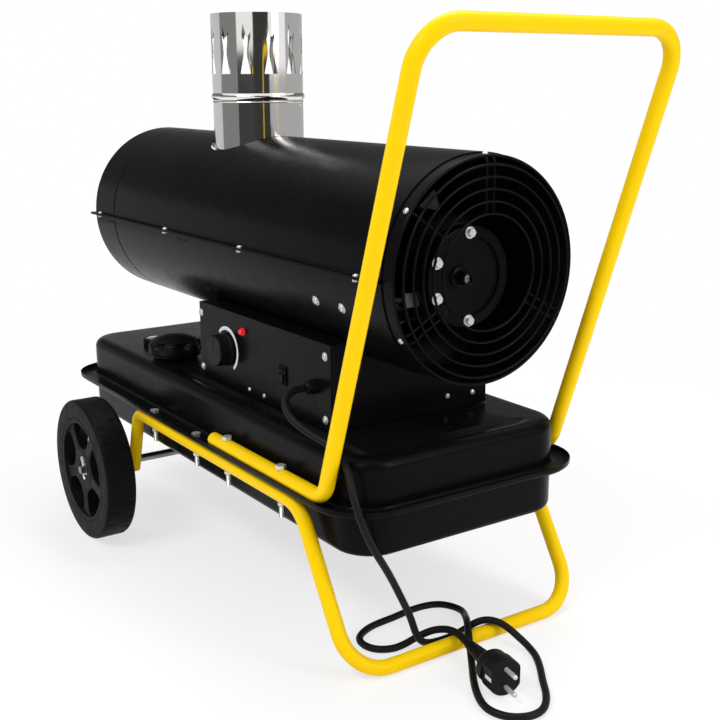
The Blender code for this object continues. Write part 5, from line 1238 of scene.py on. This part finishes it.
CORD_R = 0.00385
CORD_STEP = 0.004
GLAND_LEN = 0.014
GLAND_CAP_R = 0.0105
GLAND_CAP_TIP_R = 0.0080
PLUG_FACE = (0.403, -0.038)
PLUG_WAY = (0.982, -0.188, 0.0)
PLUG_R = 0.0190
PLUG_LEN = 0.028
PLUG_FLAT = 0.003
NECK_LEN = 0.012
RELIEF_LEN = 0.034
RELIEF_RIBS = 7
RELIEF_DENT = 0.0011
PIN_GAP = 0.019
PIN_R = 0.0024
PIN_LEN = 0.019
CONTACT_SIZE = (0.012, 0.0016, 0.0046)
CONTACT_BACK = 0.0065
CORD_ROUTE = [
    (0.1682, -0.1290, 0.2696), (0.1730, -0.1430, 0.2660), (0.1900, -0.1515, 0.2550),
    (0.2210, -0.1460, 0.2405), (0.2570, -0.1360, 0.2303), (0.2840, -0.1400, 0.2170),
    (0.3020, -0.1450, 0.1930), (0.3100, -0.1380, 0.1620), (0.3050, -0.1060, 0.1080),
    (0.2930, -0.0720, 0.0500), (0.2870, -0.0500, 0.0095), (0.2840, -0.0320, 0.0042),
    (0.2850, -0.0120, 0.0043), (0.2885, 0.0030, 0.0090), (0.2980, 0.0170, 0.0215),
    (0.3120, 0.0310, 0.0220), (0.3300, 0.0400, 0.0110), (0.3520, 0.0410, 0.0043),
    (0.3800, 0.0270, 0.0043), (0.4080, 0.0060, 0.0043), (0.4340, -0.0130, 0.0043),
    (0.4500, -0.0360, 0.0043), (0.4420, -0.0620, 0.0043), (0.4180, -0.0730, 0.0043),
    (0.3920, -0.0640, 0.0043), (0.3680, -0.0490, 0.0043), (0.3440, -0.0310, 0.0041),
    (0.3200, -0.0150, 0.0145), (0.3040, -0.0040, 0.0230), (0.2880, 0.0070, 0.0215),
    (0.2660, 0.0240, 0.0095), (0.2410, 0.0380, 0.0043), (0.2170, 0.0280, 0.0043),
    (0.2100, 0.0000, 0.0043), (0.2140, -0.0360, 0.0043), (0.2180, -0.0720, 0.0043),
    (0.2350, -0.0970, 0.0043), (0.2610, -0.0940, 0.0043), (0.2725, -0.0690, 0.0046),
    (0.2745, -0.0495, 0.0110), (0.2850, -0.0300, 0.0195), (0.3060, -0.0205, 0.0222),
]


def resample(points, step):
    """The same polyline with points at a steady spacing."""
    lengths = [0.0]
    for here, there in zip(points, points[1:]):
        lengths.append(lengths[-1] + (there - here).length)
    count = max(2, round(lengths[-1] / step))
    even = []
    j = 0
    for i in range(count + 1):
        want = lengths[-1] * i / count
        while j < len(points) - 2 and lengths[j + 1] < want:
            j += 1
        share = (want - lengths[j]) / (lengths[j + 1] - lengths[j])
        even.append(points[j].lerp(points[j + 1], min(1.0, share)))
    return even


def smooth_path(knots, step, fine=0.005, passes=6, parts=24):
    """Points at a steady spacing on a smooth curve through the knots."""
    knots = [Vector(k) for k in knots]
    spans = [(b - a).length for a, b in zip(knots, knots[1:])]
    slopes = [(b - a) / span for a, b, span in zip(knots, knots[1:], spans)]
    tangents = [slopes[0]]
    for before, after, slope_in, slope_out in zip(spans, spans[1:], slopes, slopes[1:]):
        tangents.append((slope_out * before + slope_in * after) / (before + after))
    tangents.append(slopes[-1])
    points = []
    for a, b, span, leave, arrive in zip(knots, knots[1:], spans, tangents, tangents[1:]):
        for i in range(parts):
            t = i / parts
            points.append(a * (2 * t ** 3 - 3 * t * t + 1) + leave * (span * (t ** 3 - 2 * t * t + t))
                          + b * (3 * t * t - 2 * t ** 3) + arrive * (span * (t ** 3 - t * t)))
    points.append(knots[-1])
    points = resample(points, fine)
    for _ in range(passes):
        inner = [(a + 2 * b + c) / 4 for a, b, c in zip(points, points[1:], points[2:])]
        points = [points[0]] + inner + [points[-1]]
    return resample(points, step)


def plug_place():
    """The middle of the plug's face, its direction and the direction across it."""
    way = Vector(PLUG_WAY).normalized()
    return Vector((*PLUG_FACE, PLUG_R + GAP)), way, UP.cross(way)


def cord_points():
    face, way, _ = plug_place()
    start = Vector((GLAND.mid.x, GLAND.low.y - GAP, GLAND.mid.z))
    end = face - way * (PLUG_LEN + NECK_LEN + RELIEF_LEN + GAP)
    stub = 2 * CORD_R
    leave = start + Vector((0.0, -stub, 0.0))
    points = smooth_path([leave] + CORD_ROUTE + [end - way * stub], CORD_STEP)
    low = CORD_R + GAP
    return [start] + [Vector((p.x, p.y, max(p.z, low))) for p in points] + [end]


def make_plug():
    face, way, side = plug_place()
    turn = Matrix.Rotation(atan2(way.y, way.x), 4, "Z")
    back = -PLUG_LEN - NECK_LEN
    outline = [(0.0, 0.0), (PLUG_R, 0.0), (PLUG_R, -PLUG_LEN * 0.62), (PLUG_R * 0.90, -PLUG_LEN * 0.70),
               (PLUG_R * 0.93, -PLUG_LEN), (PLUG_R * 0.50, back), (0.0, back)]
    body = lathe("plug_body", softened(outline, 0.0016), face, way, 80)
    for s in (-1, 1):
        body = combine(body, block("flat", (PLUG_LEN * 1.3, PLUG_R, 3 * PLUG_R),
                                   face + side * s * (PLUG_R * 1.5 - PLUG_FLAT), turn))
    wide = PLUG_R * 0.44
    slim = CORD_R * 1.35
    outline = [(0.0, back + 0.001), (wide, back + 0.001)]
    for k in range(RELIEF_RIBS):
        for t, dent in ((0.0, 0.0), (0.62, 0.0), (0.70, RELIEF_DENT), (0.92, RELIEF_DENT)):
            share = (k + t) / RELIEF_RIBS
            outline.append((wide + (slim - wide) * share - dent, back - RELIEF_LEN * share))
    outline += [(slim, back - RELIEF_LEN), (0.0, back - RELIEF_LEN)]
    relief = lathe("relief", outline, face, way, 40)
    grip = dress(merge("plug_grip", [body, relief]), black_rubber, cad=["mains_plug"], angle=32.0)

    outline = [(0.0, -0.001), (PIN_R, -0.001)] + oval(0.0, PIN_LEN - PIN_R, PIN_R, PIN_R, range(0, 90, 15))
    outline.append((0.0, PIN_LEN))
    pins = [lathe("pin", outline, face + UP * (s * PIN_GAP / 2), way, 32) for s in (-1, 1)]
    contacts = []
    for s in (-1, 1):
        centre = face + side * s * (PLUG_R - PLUG_FLAT - 0.0006) - way * CONTACT_BACK
        contacts.append(block("contact", CONTACT_SIZE, centre, turn))
    return [grip, dress(merge("plug_pins", pins), zinc_steel),
            dress(merge("earth_contacts", contacts), zinc_steel, bevel=0.0005)]


def make_gland():
    x, z = GLAND.mid.x, GLAND.mid.z
    front = (x, PANEL_Y - GAP, z)
    radius = GLAND.high.x - x
    nut = prism("gland_nut", hexagon(radius), on_panel(x, z, front[1]), GLAND_LEN * 0.45)
    outline = [(0.0, -0.002), (GLAND_CAP_R, -0.002), (GLAND_CAP_R, GLAND_LEN * 0.36),
               (GLAND_CAP_TIP_R, GLAND_LEN * 0.46), (0.0, GLAND_LEN * 0.46)]
    nut = combine(nut, lathe("cap", outline, front, (0, -1, 0), 48), "INTERSECT")
    dome_r = radius * 0.86
    outline = [(0.0, GLAND_LEN * 0.40), (dome_r, GLAND_LEN * 0.40)]
    outline += oval(dome_r * 0.38, GLAND_LEN * 0.44, dome_r * 0.62, GLAND_LEN * 0.50, range(0, 91, 10))
    outline += [(CORD_R * 1.35, GLAND_LEN), (CORD_R * 1.1, GLAND_LEN), (0.0, GLAND_LEN * 0.9)]
    dome = lathe("dome", outline, front, (0, -1, 0), 64)
    return dress(merge("gland_body", [nut, dome]), black_plastic, cad=["cable_gland"], angle=32.0)


def make_cord():
    points = cord_points()
    cord = pipe("mains_cord", points, CORD_R, 5)
    dress(cord, black_rubber, cad=["power_cord"])
    gland = make_gland()
    plug = make_plug()


# Floor, light and camera

FLOOR_R = 6.0
FLOOR_DROP = 0.0002
WHITE = (1.0, 1.0, 1.0, 1.0)
BLACK = (0.0, 0.0, 0.0, 1.0)
CAMERA_AT = (1.12775, -0.69766, 0.57817)
CAMERA_TURN = (74.791, 0.120, 55.136)
FOCAL_PX = 1122.8
CENTRE_PX = (373.30, 384.03)
FRAME_PX = 720
SENSOR = 36.0


def make_camera():
    data = bpy.data.cameras.new("camera")
    data.sensor_width = SENSOR
    data.lens = FOCAL_PX * SENSOR / FRAME_PX
    data.shift_x = (FRAME_PX / 2 - CENTRE_PX[0]) / FRAME_PX
    data.shift_y = (CENTRE_PX[1] - FRAME_PX / 2) / FRAME_PX
    data.clip_start = 0.01
    camera = link(bpy.data.objects.new("camera", data))
    camera.location = CAMERA_AT
    camera.rotation_euler = [radians(a) for a in CAMERA_TURN]
    bpy.context.scene.camera = camera


def computed(tree, operation, first, second):
    node = add_node(tree, "Math")
    node.operation = operation
    tree.links.new(first, node.inputs[0])
    tree.links.new(second, node.inputs[1])
    return node.outputs[0]


def background_rays(tree):
    """1 for rays from the camera or a mirror-like surface, 0 for the rest."""
    path = add_node(tree, "LightPath")
    result = path.outputs["Is Camera Ray"]
    for kind in ("Is Glossy Ray", "Is Transmission Ray"):
        result = computed(tree, "MAXIMUM", result, path.outputs[kind])
    return result


def show_mix(tree, share, first, second, output):
    """Send two shaders to the tree's output, mixed by a share."""
    both = add_node(tree, "MixShader")
    for socket, source in zip(both.inputs, (share, first.outputs[0], second.outputs[0])):
        tree.links.new(source, socket)
    tree.links.new(both.outputs[0], tree.nodes[output].inputs["Surface"])


def make_floor():
    bm = bmesh.new()
    bmesh.ops.create_circle(bm, cap_ends=True, radius=FLOOR_R, segments=96)
    floor = mesh_object("floor", bm)
    floor.location.z = -FLOOR_DROP
    mat, matte = new_material("floor")
    tree = mat.node_tree
    set_inputs(matte, Base_Color=(0.95, 0.95, 0.95, 1.0), Roughness=0.6, Specular_IOR_Level=0.1)
    white = add_node(tree, "Emission", Strength=1.0)
    reach = add_node(tree, "VectorMath")
    reach.operation = "LENGTH"
    tree.links.new(add_node(tree, "TexCoord").outputs["Object"], reach.inputs[0])
    far = ranged(tree, reach.outputs["Value"], 0.68, 1.0, 0.70, 1.7)
    show_mix(tree, computed(tree, "MULTIPLY", far, background_rays(tree)), matte, white, "Material Output")
    floor.data.materials.append(mat)


def make_world():
    world = bpy.data.worlds.new("studio")
    bpy.context.scene.world = world
    world.use_nodes = True
    tree = world.node_tree
    room = tree.nodes["Background"]
    set_inputs(room, Color=WHITE, Strength=0.50)
    show_mix(tree, background_rays(tree), room, add_node(tree, "Background", Color=WHITE), "World Output")


CARD_R = 2.3
CARDS = (                    # from and to, in degrees round the flue, foot and top height, brightness
    (-209.0, -133.0, 0.0, 0.80, 0.58), (-209.0, -133.0, 0.80, 2.2, 0.12), (-133.0, -80.0, 0.0, 2.2, 0.20),
    (-80.0, -38.0, 0.0, 0.66, 0.02), (-38.0, 0.0, 0.0, 2.2, 0.01), (0.0, 46.0, 0.0, 0.60, 0.42),
    (46.0, 151.0, 0.0, 0.80, 0.42), (46.0, 151.0, 0.80, 2.2, 0.12),
)


def make_card(name, start, end, low, high, bright):
    """One curved card that only reflections see."""
    bm = bmesh.new()
    rim = arc(FLUE_X, 0.0, CARD_R, start, end, 24)
    rows = [[bm.verts.new((x, y, z)) for x, y in rim] for z in (low, high)]
    for i in range(len(rim) - 1):
        bm.faces.new((rows[0][i], rows[0][i + 1], rows[1][i + 1], rows[1][i]))
    card = mesh_object(name, bm)
    mat, shader = new_material(name)
    set_inputs(shader, Base_Color=BLACK, Emission_Color=WHITE, Emission_Strength=bright)
    card.data.materials.append(mat)
    card.visible_camera = False
    card.visible_diffuse = False
    card.visible_shadow = False
    card.visible_transmission = False
    return card


def softbox(name, place, target, size, power):
    data = bpy.data.lights.new(name, "AREA")
    data.shape = "RECTANGLE"
    data.size, data.size_y = size
    data.energy = power
    light = link(bpy.data.objects.new(name, data))
    light.location = place
    light.rotation_euler = (Vector(target) - Vector(place)).to_track_quat("-Z", "Y").to_euler()


def make_studio():
    make_floor()
    make_world()
    cards = [make_card(f"card_{number}", *card) for number, card in enumerate(CARDS)]
    softbox("key", (0.4, -1.6, 2.0), (0.0, 0.0, 0.3), (1.2, 0.5), 26.0)
    softbox("top", (-0.2, 0.6, 2.2), (0.0, 0.0, 0.3), (1.6, 0.7), 24.0)
    softbox("fan side", (2.0, 0.7, 1.2), (0.2, 0.0, 0.3), (0.6, 1.2), 14.0)
    bpy.context.scene.view_settings.view_transform = "Standard"


def make_all():
    dress_cad_nodes()
    make_camera()
    make_cord()
    make_shells()
    make_drum_ends()
    make_drum_fasteners()
    make_flue()
    make_tank_top()
    make_tank_pan()
    make_cap()
    make_gauge()
    make_handle()
    make_legs()
    make_frame_bolts()
    make_wheels()
    make_guard()
    make_pump()
    make_pump_bolts()
    make_knob()
    make_scale()
    make_lamp()
    make_wall_screws()
    make_studio()


make_all()
